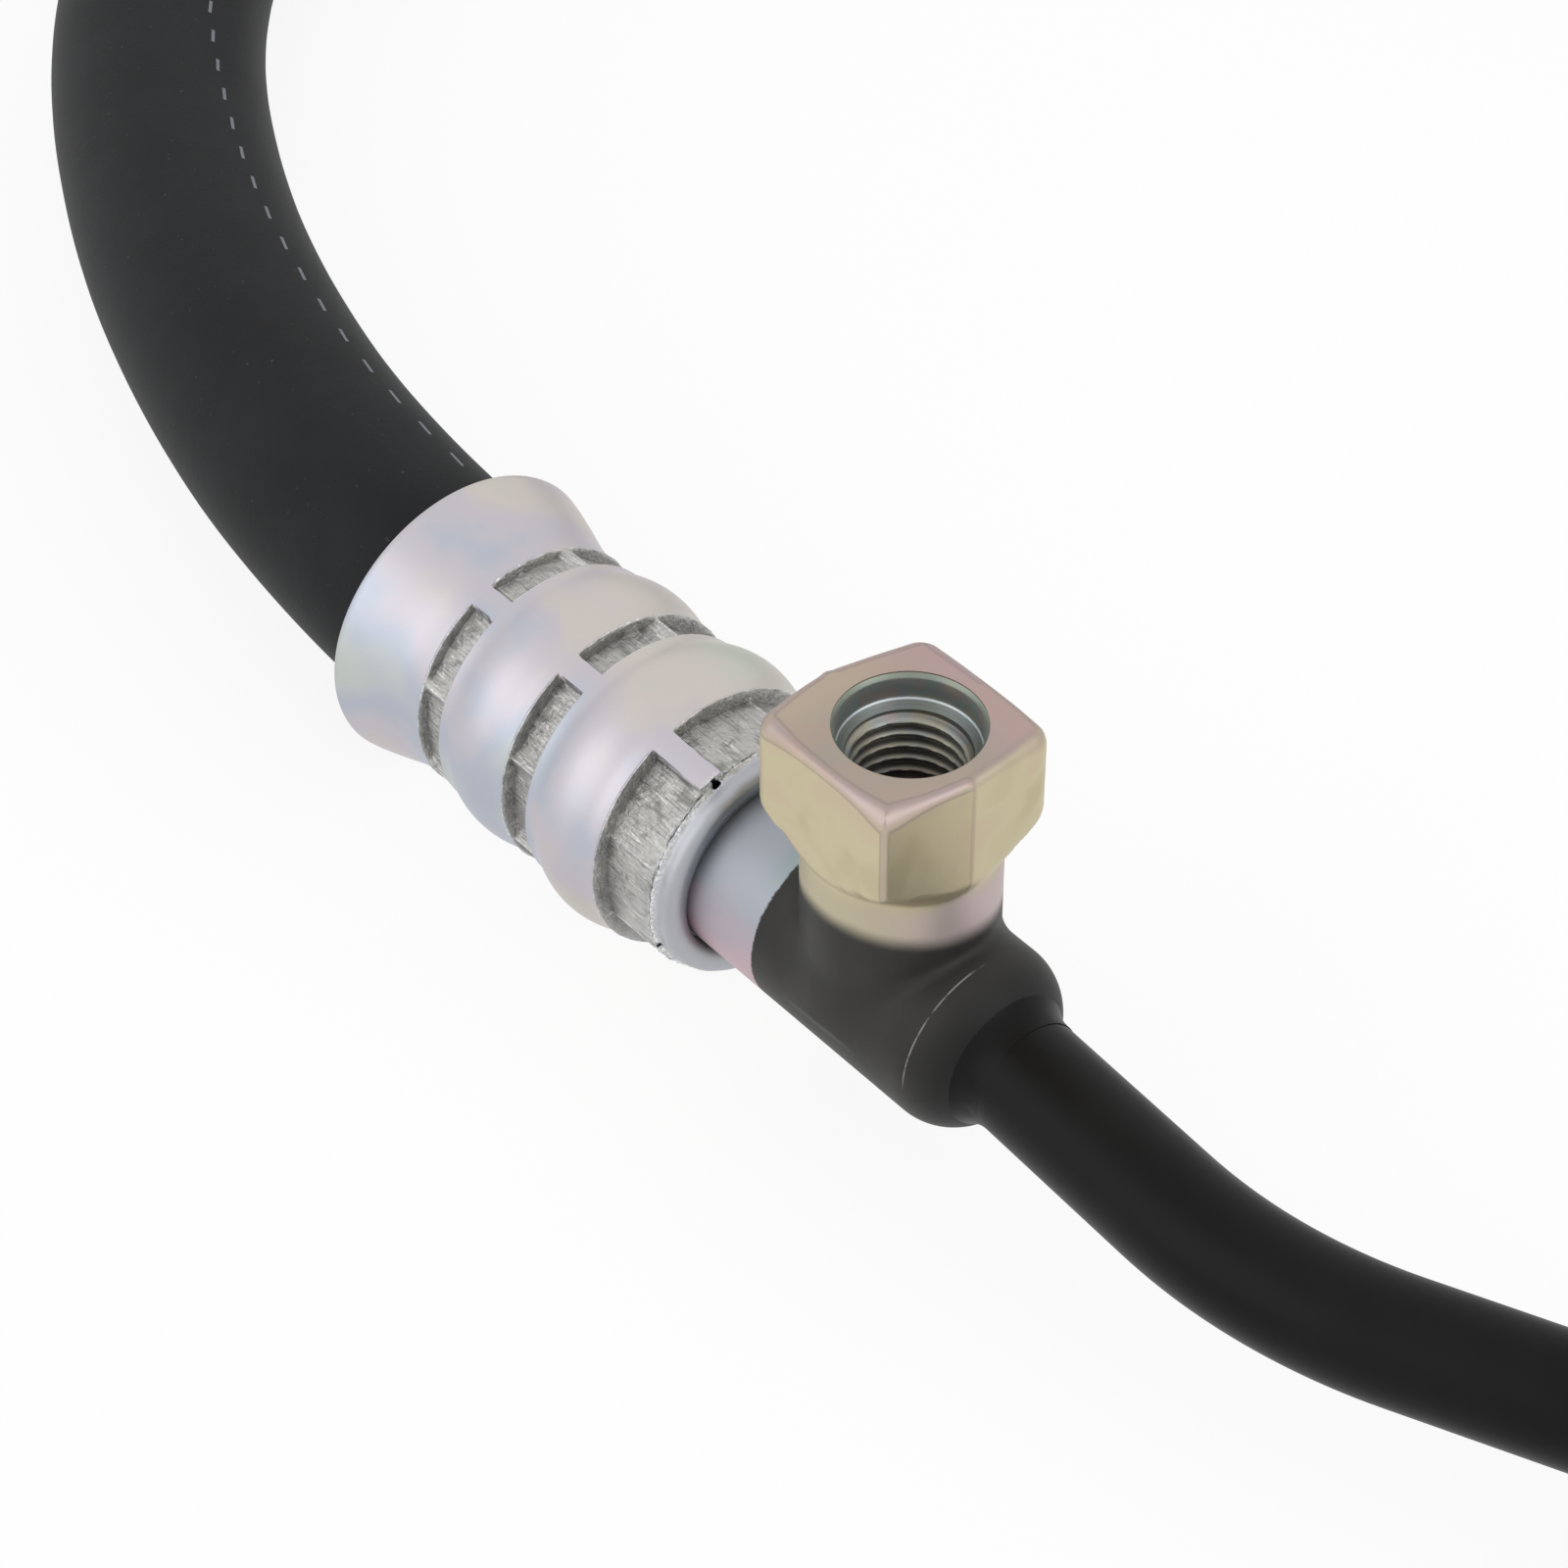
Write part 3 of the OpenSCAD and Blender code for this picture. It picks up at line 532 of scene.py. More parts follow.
def crimp(x, radius, angle, wave):
    """What the jaws leave at each outside point: new radius, bareness, burr with its painted glint, and
    painted shade on the steep wall.
    """
    from_jaw = (angle + HALF_JAW) % (2 * HALF_JAW) - HALF_JAW
    to_ridge = np.radians(HALF_JAW - np.abs(from_jaw)) * 11
    at_bridge = np.abs((angle + HALF_JAW + 180) % 360 - 180)
    turn_in = np.radians(from_jaw)
    face = -JAW_DEPTH * np.cos(turn_in) + np.sqrt(JAW_FACE ** 2 - (JAW_DEPTH * np.sin(turn_in)) ** 2)
    outside, ragged = sleeve(x), 0.05 * wave
    outer = radius > outside - 0.75
    new, bare, burr, wall = radius.copy(), np.zeros(len(x)), np.zeros(len(x)), np.zeros(len(x))
    for a, b, peak, slope in BANDS:
        press = np.maximum(face + ragged, peak - slope * to_ridge)
        far_edge = x < b if b > X_LIP else 1 - ramp01(x, b - 0.05, b + 0.05)
        window = ramp01(x, a - 0.05 + ragged, a + 0.05 + ragged) * far_edge
        window = window * ramp01(at_bridge + wave * 0.5, 5.6, 6.4)
        here = outer & (window > 0.001) & (x < X_LIP + 0.03)
        new[here] = (radius - np.clip(outside - press, 0, None) * window)[here]
        bitten = ramp01(x, a - 0.13 + ragged, a - 0.07 + ragged) * (1 - ramp01(x, b + 0.05, b + 0.12))
        bitten = np.where(x > X_LIP + 0.02, 0, bitten) * ramp01(at_bridge + wave * 0.5, 5.3, 5.9) * outer
        bare = np.maximum(bare, bitten)
        # where the jaw pressed deep, the steep wall is marked for painted shade
        side_wall = np.clip(bell(x, a + 0.02, 0.10) + bell(at_bridge, 6.0, 0.5), 0, 1)
        wall = np.maximum(wall, side_wall * bitten * ramp01(outside - press, 0.1, 0.5))
        rim = bell(x, a - 0.15, 0.06) * ramp01(at_bridge, 6.5, 8)
        rim = np.where(outer, rim * (0.6 + 0.8 * np.clip(wave + 0.3, 0, 1)), 0)
        new = new + 0.10 * rim
        crest = bell(to_ridge, 0, 0.10) * window * (at_bridge > 12) * outer
        burr = np.maximum(burr, np.clip(rim * 0.9 + crest * 0.55, 0, 1))
    return new, bare, burr, wall


sleeve_mesh = mesh_from("ferrule_crimped", lathe(outline, (0, 0, AXIS_Z), (1, 0, 0), 352))
points = points_of(sleeve_mesh)
x, y, z = points[:, 0], points[:, 1], points[:, 2] - AXIS_Z
radius, angle = np.hypot(y, z), np.degrees(np.arctan2(y, z))
wave = wobble(points, 0.9)
new, bare, burr, wall = crimp(x, radius, angle, wave)
print("the jaws bare", round(float((bare > 0.5).mean()) * 100), "% of the sleeve's points")

# %% The lip, its burr, the gaps behind it and the painted shade on it
lip = bell(x, X_LIP + 0.14, 0.20) * (radius > 10.2)
new += lip * (0.12 + 0.22 * wobble(points, 2.2) + 0.14 * wave)
# the torn rim at the lip is marked as a burr, which gets a painted glint
burr = np.maximum(burr, bell(x, X_LIP + 0.06, 0.24) * (radius > 10.3))
uneven = ramp01(x, X_LIP, X_LIP + 0.4) * (1 - ramp01(x, X_END - 0.5, X_END)) * (radius > 9.5)
new -= 0.05 * uneven * (0.5 + wave)
# painted shade on the turned-in lip: darker towards the top, along the lip towards its end, and towards the
# stem
top_in_shade = ramp01(np.cos(np.radians(angle + 5)), -0.3, 0.95)
nose = 0.06 + np.clip((x - X_LIP + 0.05) / 2.1, 0, 1) * 0.5 + ramp01(10.3 - radius, 0, 2.0) * 0.45
nose = np.clip(nose * (0.25 + 0.9 * top_in_shade), 0, 1) * ((x > X_LIP + 0.03) & (radius > LIP_R - 0.02))
# the gaps at the lip: dented a little, and marked to be painted near black as their shadow
crack = np.zeros(len(x))
for gap, reach in ((-21.5, 2.4), (-112.5, 2.0)):
    crack = np.maximum(crack, bell(angle, gap, reach) * bell(x, X_LIP + 0.10, 0.13) * (radius > 10.2))
new -= 0.5 * crack
grow = new / np.maximum(radius, 0.1)
move_points(sleeve_mesh, np.stack([x, y * grow, z * grow + AXIS_Z], axis=1))
mark_points(sleeve_mesh, bare=bare, wall=wall, burr=np.where(crack > 0.3, 0, burr), crack=crack, nose=nose,
            lean=-0.21 * ramp01(y, -5.0, 6.0))
ferrule_crimped = add_mesh("ferrule_crimped", sleeve_mesh, zinc_ferrule, 40)
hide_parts("ferrule")
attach(ferrule_crimped, "hose_line")

# %% The same ferrule on the far end
FAR = Vector((-13.0, 190.0, 0.0))
far_mesh = sleeve_mesh.copy()
far_mesh.transform(Matrix.Translation(FAR * MM))
far_ferrule_crimped = bpy.data.objects.new("far_ferrule_crimped", far_mesh)
bpy.context.scene.collection.objects.link(far_ferrule_crimped)
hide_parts("far_ferrule")
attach(far_ferrule_crimped, "hose_line")
print("the far ferrule stands", [round(v, 1) for v in FAR], "mm from the near one")

# %% [markdown]
# ## The line of the hose
#
# A thick pressure hose is stiff. It leaves the ferrule straight, sinks to the
# bench, turns back in one wide loop and comes to the second ferrule. Its line is
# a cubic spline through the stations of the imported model, with its ends held
# along the two ferrules, so it never kinks. Inside a ferrule the hose is
# squeezed onto the nipple, which the radius along the line shows.

# %% The line and its length
ROUTE = [(-55, 0, 0), (-72.1, 1.2, 0.05), (-82.9, 3, 0.15), (-98.6, 7.2, 0.35), (-112.9, 12.4, 0.55),
         (-127.4, 19.3, 0.8), (-141.9, 27.9, 0.95), (-153, 36.5, 1), (-166.2, 50.6, 1), (-179.5, 75.4, 1),
         (-184.4, 103.4, 1), (-180, 131.4, 1), (-166.6, 156.5, 1), (-146.2, 175.6, 0.95),
         (-121.8, 187.2, 0.7), (-94, 191.2, 0.3), (-68, 190, 0)]
SINK = 3.1
# stations inside a ferrule, and how far the squeezed hose has opened at each
INSIDE, OPENING = [-26.4, -27.5, -37, -48.2, -49.5, -51, -52.5, -54], [0, 0, 0, 0, 0.19, 0.41, 0.63, 0.85]


def held_spline(points, start, end, per_span):
    """A smooth line through points that leaves and arrives in given directions."""
    p = np.array(points, dtype=float)
    t = np.concatenate([[0], np.cumsum(np.linalg.norm(np.diff(p, axis=0), axis=1))])
    h = np.diff(t)
    n = len(p)
    a, b = np.zeros((n, n)), np.zeros((n, 3))
    a[0, 0] = a[-1, -1] = 1
    b[0], b[-1] = start, end
    for i in range(1, n - 1):
        a[i, i - 1], a[i, i], a[i, i + 1] = h[i], 2 * (h[i - 1] + h[i]), h[i - 1]
        b[i] = 3 * (h[i] * (p[i] - p[i - 1]) / h[i - 1] + h[i - 1] * (p[i + 1] - p[i]) / h[i])
    slope = np.linalg.solve(a, b)
    line = []
    for i in range(n - 1):
        for s in np.arange(per_span) / per_span:
            line.append((2 * s ** 3 - 3 * s ** 2 + 1) * p[i] + (s ** 3 - 2 * s ** 2 + s) * h[i] * slope[i]
                        + (3 * s ** 2 - 2 * s ** 3) * p[i + 1] + (s ** 3 - s ** 2) * h[i] * slope[i + 1])
    return line + [p[-1]]


free_line = held_spline([(x, y, AXIS_Z - SINK * drop) for x, y, drop in ROUTE], (-1, 0, 0), (1, 0, 0), 12)
into_near = [(x, 0, AXIS_Z) for x in INSIDE]
into_far = [(FAR.x + x, FAR.y, AXIS_Z) for x in INSIDE[::-1]]
whole_line = into_near + list(map(tuple, free_line)) + into_far
hose_line = [Vector((x, y, max(z, AXIS_Z - SINK))) for x, y, z in whole_line]
squeeze = OPENING + [1] * len(free_line) + OPENING[::-1]

# %% [markdown]
# ## Finish of the hose
#
# The cover is black rubber, cured under a wrapped cloth, so it is matt with a
# very fine texture and catches light only at grazing angles. One broken line of
# pale ink runs along it. The mesh carries `along`, the way run along the hose,
# and `round`, the distance round it from the ink's line, so the ink follows
# every bend.

# %% Finish: rubber cover with a broken ink line
INK_PITCH, INK_SHARE, INK_HALF_WIDTH = 5.4, 0.42, 0.17
cover_rubber, shader, place = new_finish("cover_rubber", 0.62)
along, around, facing = marks(place, "along", "round", "facing")
rubber = colour_steps(cloud(place, 9, detail=5.0, rough=0.6), (0.3, 26, 27, 29), (0.7, 33, 34, 36))
rubber = blend(cloud(place, 0.6, detail=2.0).step(0.70, 0.78) * 0.35, rubber, shade(92, 92, 92))
pulse = (along / INK_PITCH).maths("FRACT", along / INK_PITCH)
slant = around + (pulse - INK_SHARE / 2) * 0.5
ink = (pulse < INK_SHARE) * (abs(slant) < INK_HALF_WIDTH) * (facing > 0.0)
ink = ink * cloud(place, 0.5).step(0.24, 0.38)
feed(shader, "Base Color", blend(ink, rubber, shade(140, 145, 152)))
roughen(shader, cloud(place, 0.5) + cloud(place, 7, detail=2.0) * 2.0, 0.25, 0.08)
feed(shader, "Specular IOR Level", 0.18)
feed(shader, "Sheen Weight", 0.03)
feed(shader, "Sheen Roughness", 0.4)
print("made the finish", cover_rubber.name)

# %% Finishes: inner rubber and braid yarn
liner_rubber, shader, place = new_finish("liner_rubber", 0.55)
feed(shader, "Base Color", colour_steps(cloud(place, 3), (0.3, 34, 34, 35), (0.7, 44, 44, 45)))
roughen(shader, cloud(place, 0.6), 0.2, 0.05)

braid_yarn, shader, place = new_finish("braid_yarn", 0.8)
wave_node = node(place.tree, "ShaderNodeTexWave", wave_type="BANDS", bands_direction="DIAGONAL")
feed(wave_node, "Vector", place)
feed(wave_node, "Scale", 180)
strands = Signal(wave_node.outputs["Fac"])
feed(shader, "Base Color", colour_steps(strands, (0.2, 168, 162, 146), (0.8, 222, 218, 204)))
roughen(shader, strands, 0.5, 0.2)
print("made the finishes", liner_rubber.name, braid_yarn.name)

# %% Sweep the hose and its layers
BORE_R, COVER_R, SQUEEZED_R = 4.75, 10.4, 9.2


def layer_radii(full):
    """Radius of a layer at each station: squeezed in the ferrules, full outside."""
    tight = BORE_R + (full - BORE_R) * (SQUEEZED_R - BORE_R) / (COVER_R - BORE_R)
    return [tight + (full - tight) * share for share in squeeze]


def hose_layer(name, node_name, inner, outer, finish, sides=28):
    bm = hollow_sweep(hose_line, layer_radii(outer), layer_radii(inner), sides)
    piece = add_mesh(name, mesh_from(name, bm), finish, 50)
    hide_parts(node_name)
    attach(piece, "hose_line")
    return piece


liner = hose_layer("liner_tube", "hose_liner", BORE_R, 6.6, liner_rubber)
braid_in = hose_layer("inner_braid_tube", "inner_braid", 6.6, 7.1, braid_yarn)
between = hose_layer("interlayer_tube", "interlayer", 7.1, 7.6, liner_rubber)
braid_out = hose_layer("outer_braid_tube", "outer_braid", 7.6, 8.1, braid_yarn)
cover = hose_layer("hose_cover_tube", "hose_cover", 8.1, COVER_R, cover_rubber, 64)

# %% Tell the cover where its ink runs
INK_ANGLE, REACH = math.radians(-33), 14
stops = np.array([tuple(p) for p in hose_line])
run = np.concatenate([[0], np.cumsum(np.linalg.norm(np.diff(stops, axis=0), axis=1))])
ahead = np.gradient(stops, axis=0)
ahead /= np.linalg.norm(ahead, axis=1)[:, None]
sideways = np.cross([0, 0, 1], ahead)
sideways /= np.linalg.norm(sideways, axis=1)[:, None]
upward = np.cross(ahead, sideways)
cover_points = points_of(cover.data)
gap = np.sqrt(((cover_points[:, None, :2] - stops[None, :, :2]) ** 2).sum(axis=2))
off = np.abs(((cover_points[:, None, :] - stops[None]) * ahead[None]).sum(axis=2)) + gap * 0.02
nearest = np.where(gap < REACH, off, 1e6).argmin(axis=1)
from_line = cover_points - stops[nearest]
toward_side = (from_line * sideways[nearest]).sum(axis=1)
toward_top = (from_line * upward[nearest]).sum(axis=1)
turned = np.arctan2(toward_side, toward_top) - INK_ANGLE
mark_points(cover.data, along=run[nearest], round=COVER_R * np.sin(turned), facing=np.cos(turned))
print("ink runs for", round(float(run.max()), 1), "mm")

# %% [markdown]
# ## Finish of the tee
#
# The forging is zinc plated with a yellow passivation: khaki on the flat faces,
# pink and lavender where the edges roll over. The lower body was sprayed black
# with the tube. The spray was masked at the stem, which leaves a sharp, slightly
# speckled edge, and it fades softly up the neck, where nothing was masked. The
# mesh carries `edge`, which is 1 on the rolled edges.

# %% Finish: forging with sprayed lower body
port_forging, shader, place = new_finish("port_forging", 0.42, 1.0)
at_x, at_y, at_z = in_mm(place)
(edge,) = marks(place, "edge")
speck = use_group(grain, place)[0]
wander = cloud(place, 8, detail=2.0, twist=0.5)
metal = colour_steps(wander, (0.30, 197, 185, 151), (0.48, 206, 195, 162), (0.62, 205, 189, 161),
                     (0.74, 204, 181, 166))
top_tint = blend(at_x.step(-7.5, -2.5), shade(186, 170, 153), shade(171, 160, 148))
top_tint = blend(at_y.step(0.5, 6.5), top_tint, shade(184, 160, 160))
top_tint = blend(wander.step(0.42, 0.66) * 0.5, top_tint, shade(186, 162, 148))
metal = blend(at_z.step(2.5, 2.95), metal, top_tint)
rosy = colour_steps(cloud(place, 4, detail=2.0), (0.35, 174, 153, 150), (0.65, 170, 154, 162))
metal = blend(edge * 0.7, metal, rosy)
brink = edge.step(0.02, 0.18) * (1.0 - edge.step(0.25, 0.55))
metal = blend(brink * 0.38, metal, shade(136, 126, 128))
neck_z = at_z + (wander - 0.5) * 5.0
neck_tint = blend((at_x + at_y).step(-6.0, 7.5), shade(200, 190, 164), shade(206, 190, 188))
metal = blend(1.0 - neck_z.step(-10.4, -8.4), metal, neck_tint)
stem_share = (at_z + (wander - 0.5) * 7.0) * (1 / 16) + 2.0
stem_tint = colour_steps(stem_share, (0.15, 204, 192, 188), (0.42, 208, 182, 190), (0.58, 190, 180, 190),
                         (0.74, 174, 179, 188))
teal = at_x.step(-11.5, -9.6) * at_z.step(-18.5, -16.2)
stem_tint = blend(teal * 0.7, stem_tint, shade(160, 178, 178))
on_stem = (at_z < -14.6) * (at_x < -7.6)
metal = blend(on_stem, metal, stem_tint)
seam_line = (1.0 - abs(at_y + 0.5).step(0.05, 0.30)) * at_z.step(-8.9, -8.3) * (1.0 - at_z.step(2.0, 2.6))
metal = blend(seam_line * 0.4, metal, shade(172, 148, 138))
print("made the metal of", port_forging.name)

# %% Finish: the sprayed paint over it
MASK_X, COLLAR_SEAM_X = -9.15, 8.8
spray = at_x + (cloud(place, 0.22) - 0.5) * 0.35 + (cloud(place, 3, detail=2.0) - 0.5) * 0.25
faded = at_z + (cloud(place, 6, detail=2.0) - 0.5) + at_y * 0.14 - 0.2
painted = spray.step(MASK_X - 0.1, MASK_X + 0.1) * (1.0 - faded.step(-14.7, -12.7))
black = colour_steps(cloud(place, 5, detail=4.0), (0.3, 41, 40, 38), (0.7, 51, 50, 48))
black = blend(at_x.step(8.6, 12.0), black, shade(11, 11, 11))
# painted highlight: a pale line on the burr of the collar's seam, on the side that faces the light; the
# burr also gets a small bump
collar_burr_glint = (1.0 - abs(at_x - COLLAR_SEAM_X).step(0.03, 0.10)) * (at_z - at_y).step(-16.6, -14.2) * (at_z < -15.7)
collar_burr_glint = collar_burr_glint * cloud(place, 2.2).step(0.38, 0.5)
black = blend(collar_burr_glint * 0.75, black, shade(170, 168, 164))
feed(shader, "Base Color", blend(painted, metal, black))
low_down = on_stem.maths("MAXIMUM", on_stem, 1.0 - at_z.step(-9.6, -8.6))
feed(shader, "Metallic", (1.0 - painted) * (low_down * -0.25 + 0.80))
feed(shader, "Roughness", low_down * 0.10 + 0.42)
feed(shader, "Specular IOR Level", 0.3)
height = speck * 0.06 + seam_line * 0.12 + collar_burr_glint * 0.4 + cloud(place, 2.6, detail=2.0) * 0.02
roughen(shader, height, 0.6, 0.2)
print("made the finish", port_forging.name)

# %% [markdown]
# ## The tee
#
# A forging has no sharp inside corners: the metal flows, so the neck grows out
# of the pipe in a soft curve and the block's edges are rolled. Booleans of plain
# solids give hard creases instead. So rough solids are joined by a voxel remesh
# into one even skin, and then every point of the skin is drawn onto the exact
# surface. That surface is a distance formula: pipe, neck and block are joined
# with a soft minimum, which makes the forging's fillets.


# %% Distance from the forging's surface
NECK_X, NECK_R, PIPE_R, TOP_Z, PARTING_Y = -0.6, 7.9, 8.0, 3.0, -0.5
BACK_Y, FRONT_Y, TUBE_X = 8.1, -8.4, 7.9
# each upright corner: x, y, how much more it and its top edge are rolled, and how far that reaches
CORNERS = ((7.9, 8.1, 1.0, 0.6, 3.6), (-8.8, -8.4, 1.0, 1.0, 3.6),
           (-7.4, 8.1, 0.9, 0.3, 3.6), (6.8, -8.4, -0.4, 1.1, 3.0))


def soft_min(a, b, k):
    h = np.clip(0.5 + 0.5 * (b - a) / k, 0, 1)
    return b + (a - b) * h - k * h * (1 - h)


def round_inside(a, b, r):
    """Where two surfaces meet from inside, with a rolled edge of radius r."""
    return np.minimum(-r, np.maximum(a, b)) + np.hypot(np.maximum(a + r, 0), np.maximum(b + r, 0))


def draft_plane(x, y, angle, at_x, sign_x, sign_y):
    """A side that leans back by an angle from the parting line."""
    c, s = math.cos(math.radians(angle)), math.sin(math.radians(angle))
    return sign_x * c * (x - at_x) + sign_y * s * (y - PARTING_Y)


def rolled_radii(p):
    """Radius of the upright corners and of the top edge: the far corners are rolled more."""
    upright = np.full(len(p), 0.9)
    top = 0.85 + 0.45 * ramp01(p[:, 1], -0.9, -0.2)
    for x, y, more_upright, more_top, reach in CORNERS:
        near = np.exp(-((p[:, 0] - x) ** 2 + (p[:, 1] - y) ** 2) / reach ** 2)
        upright, top = upright + more_upright * near, top + more_top * near
    return upright, top


def block_planes(p):
    x, y = p[:, 0], p[:, 1]
    hose_x = -8.95 - 0.23 * ramp01(y, -1.8, 0.2)
    far_half, near_half = draft_plane(x, y, 12.5, hose_x, -1, 1), draft_plane(x, y, 2, hose_x, -1, -1)
    hose_side = np.where(y > PARTING_Y, far_half, near_half)
    tube_side = np.maximum(draft_plane(x, y, 3, TUBE_X, 1, 1), draft_plane(x, y, 9, TUBE_X, 1, -1))
    return hose_side, tube_side, y - BACK_Y, FRONT_Y - y


def underside(p):
    """The turned cone from the block's corners down to the neck."""
    return 0.6954 * (np.hypot(p[:, 0] - NECK_X, p[:, 1]) - NECK_R) - 0.7186 * (p[:, 2] + 8.6)


def block_distance(p):
    hose_side, tube_side, back, front = block_planes(p)
    upright, top = rolled_radii(p)
    plan = round_inside(np.maximum(hose_side, tube_side), np.maximum(back, front), upright)
    crease = np.interp(p[:, 1], [-2, 2], [0.45, 0.9])
    return round_inside(round_inside(plan, p[:, 2] - TOP_Z, top), underside(p), crease)


def pipe_distance(p):
    r = np.hypot(p[:, 1], p[:, 2] - AXIS_Z)
    qx, qr = p[:, 0] - 7.7, r - 2.8
    roll = np.hypot(np.maximum(qx, 0), np.maximum(qr, 0)) + np.minimum(np.maximum(qx, qr), 0) - 5.2
    return np.maximum(round_inside(roll, -18.3 - p[:, 0], 0.3), p[:, 0] - 12.082)


def forging_distance(p):
    neck_ends = np.maximum(p[:, 2] - 0.5, AXIS_Z - p[:, 2])
    neck = np.maximum(np.hypot(p[:, 0] - NECK_X, p[:, 1]) - NECK_R, neck_ends)
    body = soft_min(neck, pipe_distance(p), np.interp(p[:, 0], [-2, 6], [1.6, 0.8]))
    return soft_min(body, block_distance(p), 0.45)


def draw_onto(distance, points, rounds=7, h=1e-3):
    """Moves points along the slope of a distance formula until they lie on it."""
    for _ in range(rounds):
        d = distance(points)
        slope = [(distance(points + h * e) - distance(points - h * e)) / (2 * h) for e in np.eye(3)]
        slope = np.stack(slope, axis=1)
        size = np.maximum((slope ** 2).sum(axis=1), 0.25)
        points = points - np.clip(d / size, -0.4, 0.4)[:, None] * slope
    return points


# %% Rough solids, one skin, drawn onto the surface
def rod(bm, r, a, b, axis, sides=64):
    """A plain cylinder between two stations on an axis, as stock for the remesh."""
    turn = Matrix.Rotation(math.pi / 2, 4, "Y") if axis == "X" else Matrix.Identity(4)
    a, b = Vector(a), Vector(b)
    bmesh.ops.create_cone(bm, cap_ends=True, segments=sides, radius1=r * MM, radius2=r * MM,
                          depth=(b - a).length * MM, matrix=Matrix.Translation((a + b) / 2 * MM) @ turn)


def one_skin(name, bm, voxel):
    """Joins overlapping solids into one closed skin of even faces."""
    bmesh.ops.recalc_face_normals(bm, faces=bm.faces)
    mesh = bpy.data.meshes.new(name + "_stock")
    bm.to_mesh(mesh)
    bm.free()
    stock = bpy.data.objects.new(name + "_stock", mesh)
    bpy.context.scene.collection.objects.link(stock)
    remesh = stock.modifiers.new("skin", "REMESH")
    remesh.mode, remesh.voxel_size = "VOXEL", voxel * MM
    skin = bpy.data.meshes.new_from_object(stock.evaluated_get(bpy.context.evaluated_depsgraph_get()))
    bpy.data.objects.remove(stock)
    return skin


def drill(mesh, r, a, b, sides=192):
    """Cuts a round hole straight down through a mesh and gives back the new mesh."""
    body = bpy.data.objects.new("drilled", mesh)
    bm = bmesh.new()
    rod(bm, r, a, b, "Z", sides)
    tool_mesh = bpy.data.meshes.new("drill")
    bm.to_mesh(tool_mesh)
    bm.free()
    tool = bpy.data.objects.new("drill", tool_mesh)
    for o in (body, tool):
        bpy.context.scene.collection.objects.link(o)
    cut = body.modifiers.new("hole", "BOOLEAN")
    cut.operation, cut.object, cut.solver = "DIFFERENCE", tool, "EXACT"
    result = bpy.data.meshes.new_from_object(body.evaluated_get(bpy.context.evaluated_depsgraph_get()))
    bpy.data.objects.remove(tool)
    bpy.data.objects.remove(body)
    return result


bm = bmesh.new()
rod(bm, PIPE_R, (-18.3, 0, AXIS_Z), (11.6, 0, AXIS_Z), "X")
rod(bm, NECK_R, (NECK_X, 0, AXIS_Z), (NECK_X, 0, -1.0), "Z")
bmesh.ops.create_cube(bm, size=1, matrix=Matrix.Translation(Vector((-0.7, -0.15, -1.7)) * MM)
                      @ Matrix.Diagonal((16.5 * MM, 16.2 * MM, 9.2 * MM, 1)))
skin = one_skin("tee_forging", bm, 0.25)
forged = draw_onto(forging_distance, points_of(skin))
move_points(skin, forged)
worst = float(np.abs(forging_distance(forged)).max())
print("the forging's skin has", len(forged), "points; largest error in mm:", round(worst, 4))

# %% Drill the port and mark the rolled edges
skin = drill(skin, 6.0, (0, 0, -14.5), (0, 0, 6.0))
p = points_of(skin)
sides = np.sort(np.stack(block_planes(p), axis=1), axis=1)
top = rolled_radii(p)[1]
top_roll = ramp01(np.minimum(sides[:, -1], p[:, 2] - TOP_Z), -top * 1.05, -top * 0.35)
top_roll *= 1 - 0.85 * ramp01(p[:, 1], -1.0, -0.3) * (p[:, 0] > 0)
corner_roll = 0.6 * ramp01(sides[:, -2], -0.55, -0.15)
mark_points(skin, edge=np.maximum(top_roll, corner_roll) * (p[:, 2] > -8.4))
tee_forging = add_mesh("tee_forging", skin, port_forging, 42)
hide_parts("tee_body")
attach(tee_forging, "hose_line")

# %% [markdown]
# ## The threaded port
#
# The port is turned after forging: a chamfered counterbore for the switch's
# seal, a bright conical step, and an M10 thread with a pitch of 1.25 mm. It is a
# sleeve of its own, set into the drilled forging, because a thread needs very
# fine rows and the forging doesn't. The rows of a plain sleeve are moved in and
# out by a formula that climbs one pitch in each turn, which makes a true helix.


# %% Finish: machined port
port_finish, shader, place = new_finish("port_bore", 0.40, 0.75)
bore_z = in_mm(place)[2]
(root,) = marks(place, "root")
speck = use_group(grain, place)[0]
green = colour_steps(cloud(place, 3) + bore_z * 0.02, (0.22, 162, 172, 160), (0.40, 182, 182, 164),
                     (0.52, 166, 180, 178), (0.64, 188, 178, 176), (0.80, 192, 190, 170))
green = blend(bore_z.step(2.35, 2.75), green, shade(138, 146, 134))
step_band = bore_z.step(-0.25, 0.05) * (1.0 - bore_z.step(0.65, 0.85))
green = blend(step_band * 0.85, green, shade(96, 102, 101))
ring_marks = abs(bore_z.maths("FRACT", bore_z * 3.6) - 0.5).step(0.36, 0.5) * step_band
green = blend(ring_marks * 0.5, green, shade(90, 88, 84))
# painted highlight: a bright line along the top of the conical step
step_rim_glint = bore_z.step(0.52, 0.58) * (1.0 - bore_z.step(0.66, 0.74))
green = blend(step_rim_glint * 0.8, green, shade(206, 214, 216))
# painted shade: the bore darkens towards its bottom
green = blend(bore_z.step(-9.5, -0.5), shade(70, 66, 58), green)
green = blend((1.0 - bore_z.step(-0.3, 0.1)) * 0.35, green, shade(120, 100, 96))
# painted shade in the roots of the thread
green = blend(root * 0.85, green, shade(40, 36, 32))
feed(shader, "Base Color", green)
roughen(shader, speck, 0.3, 0.05)
print("made the finish", port_finish.name)


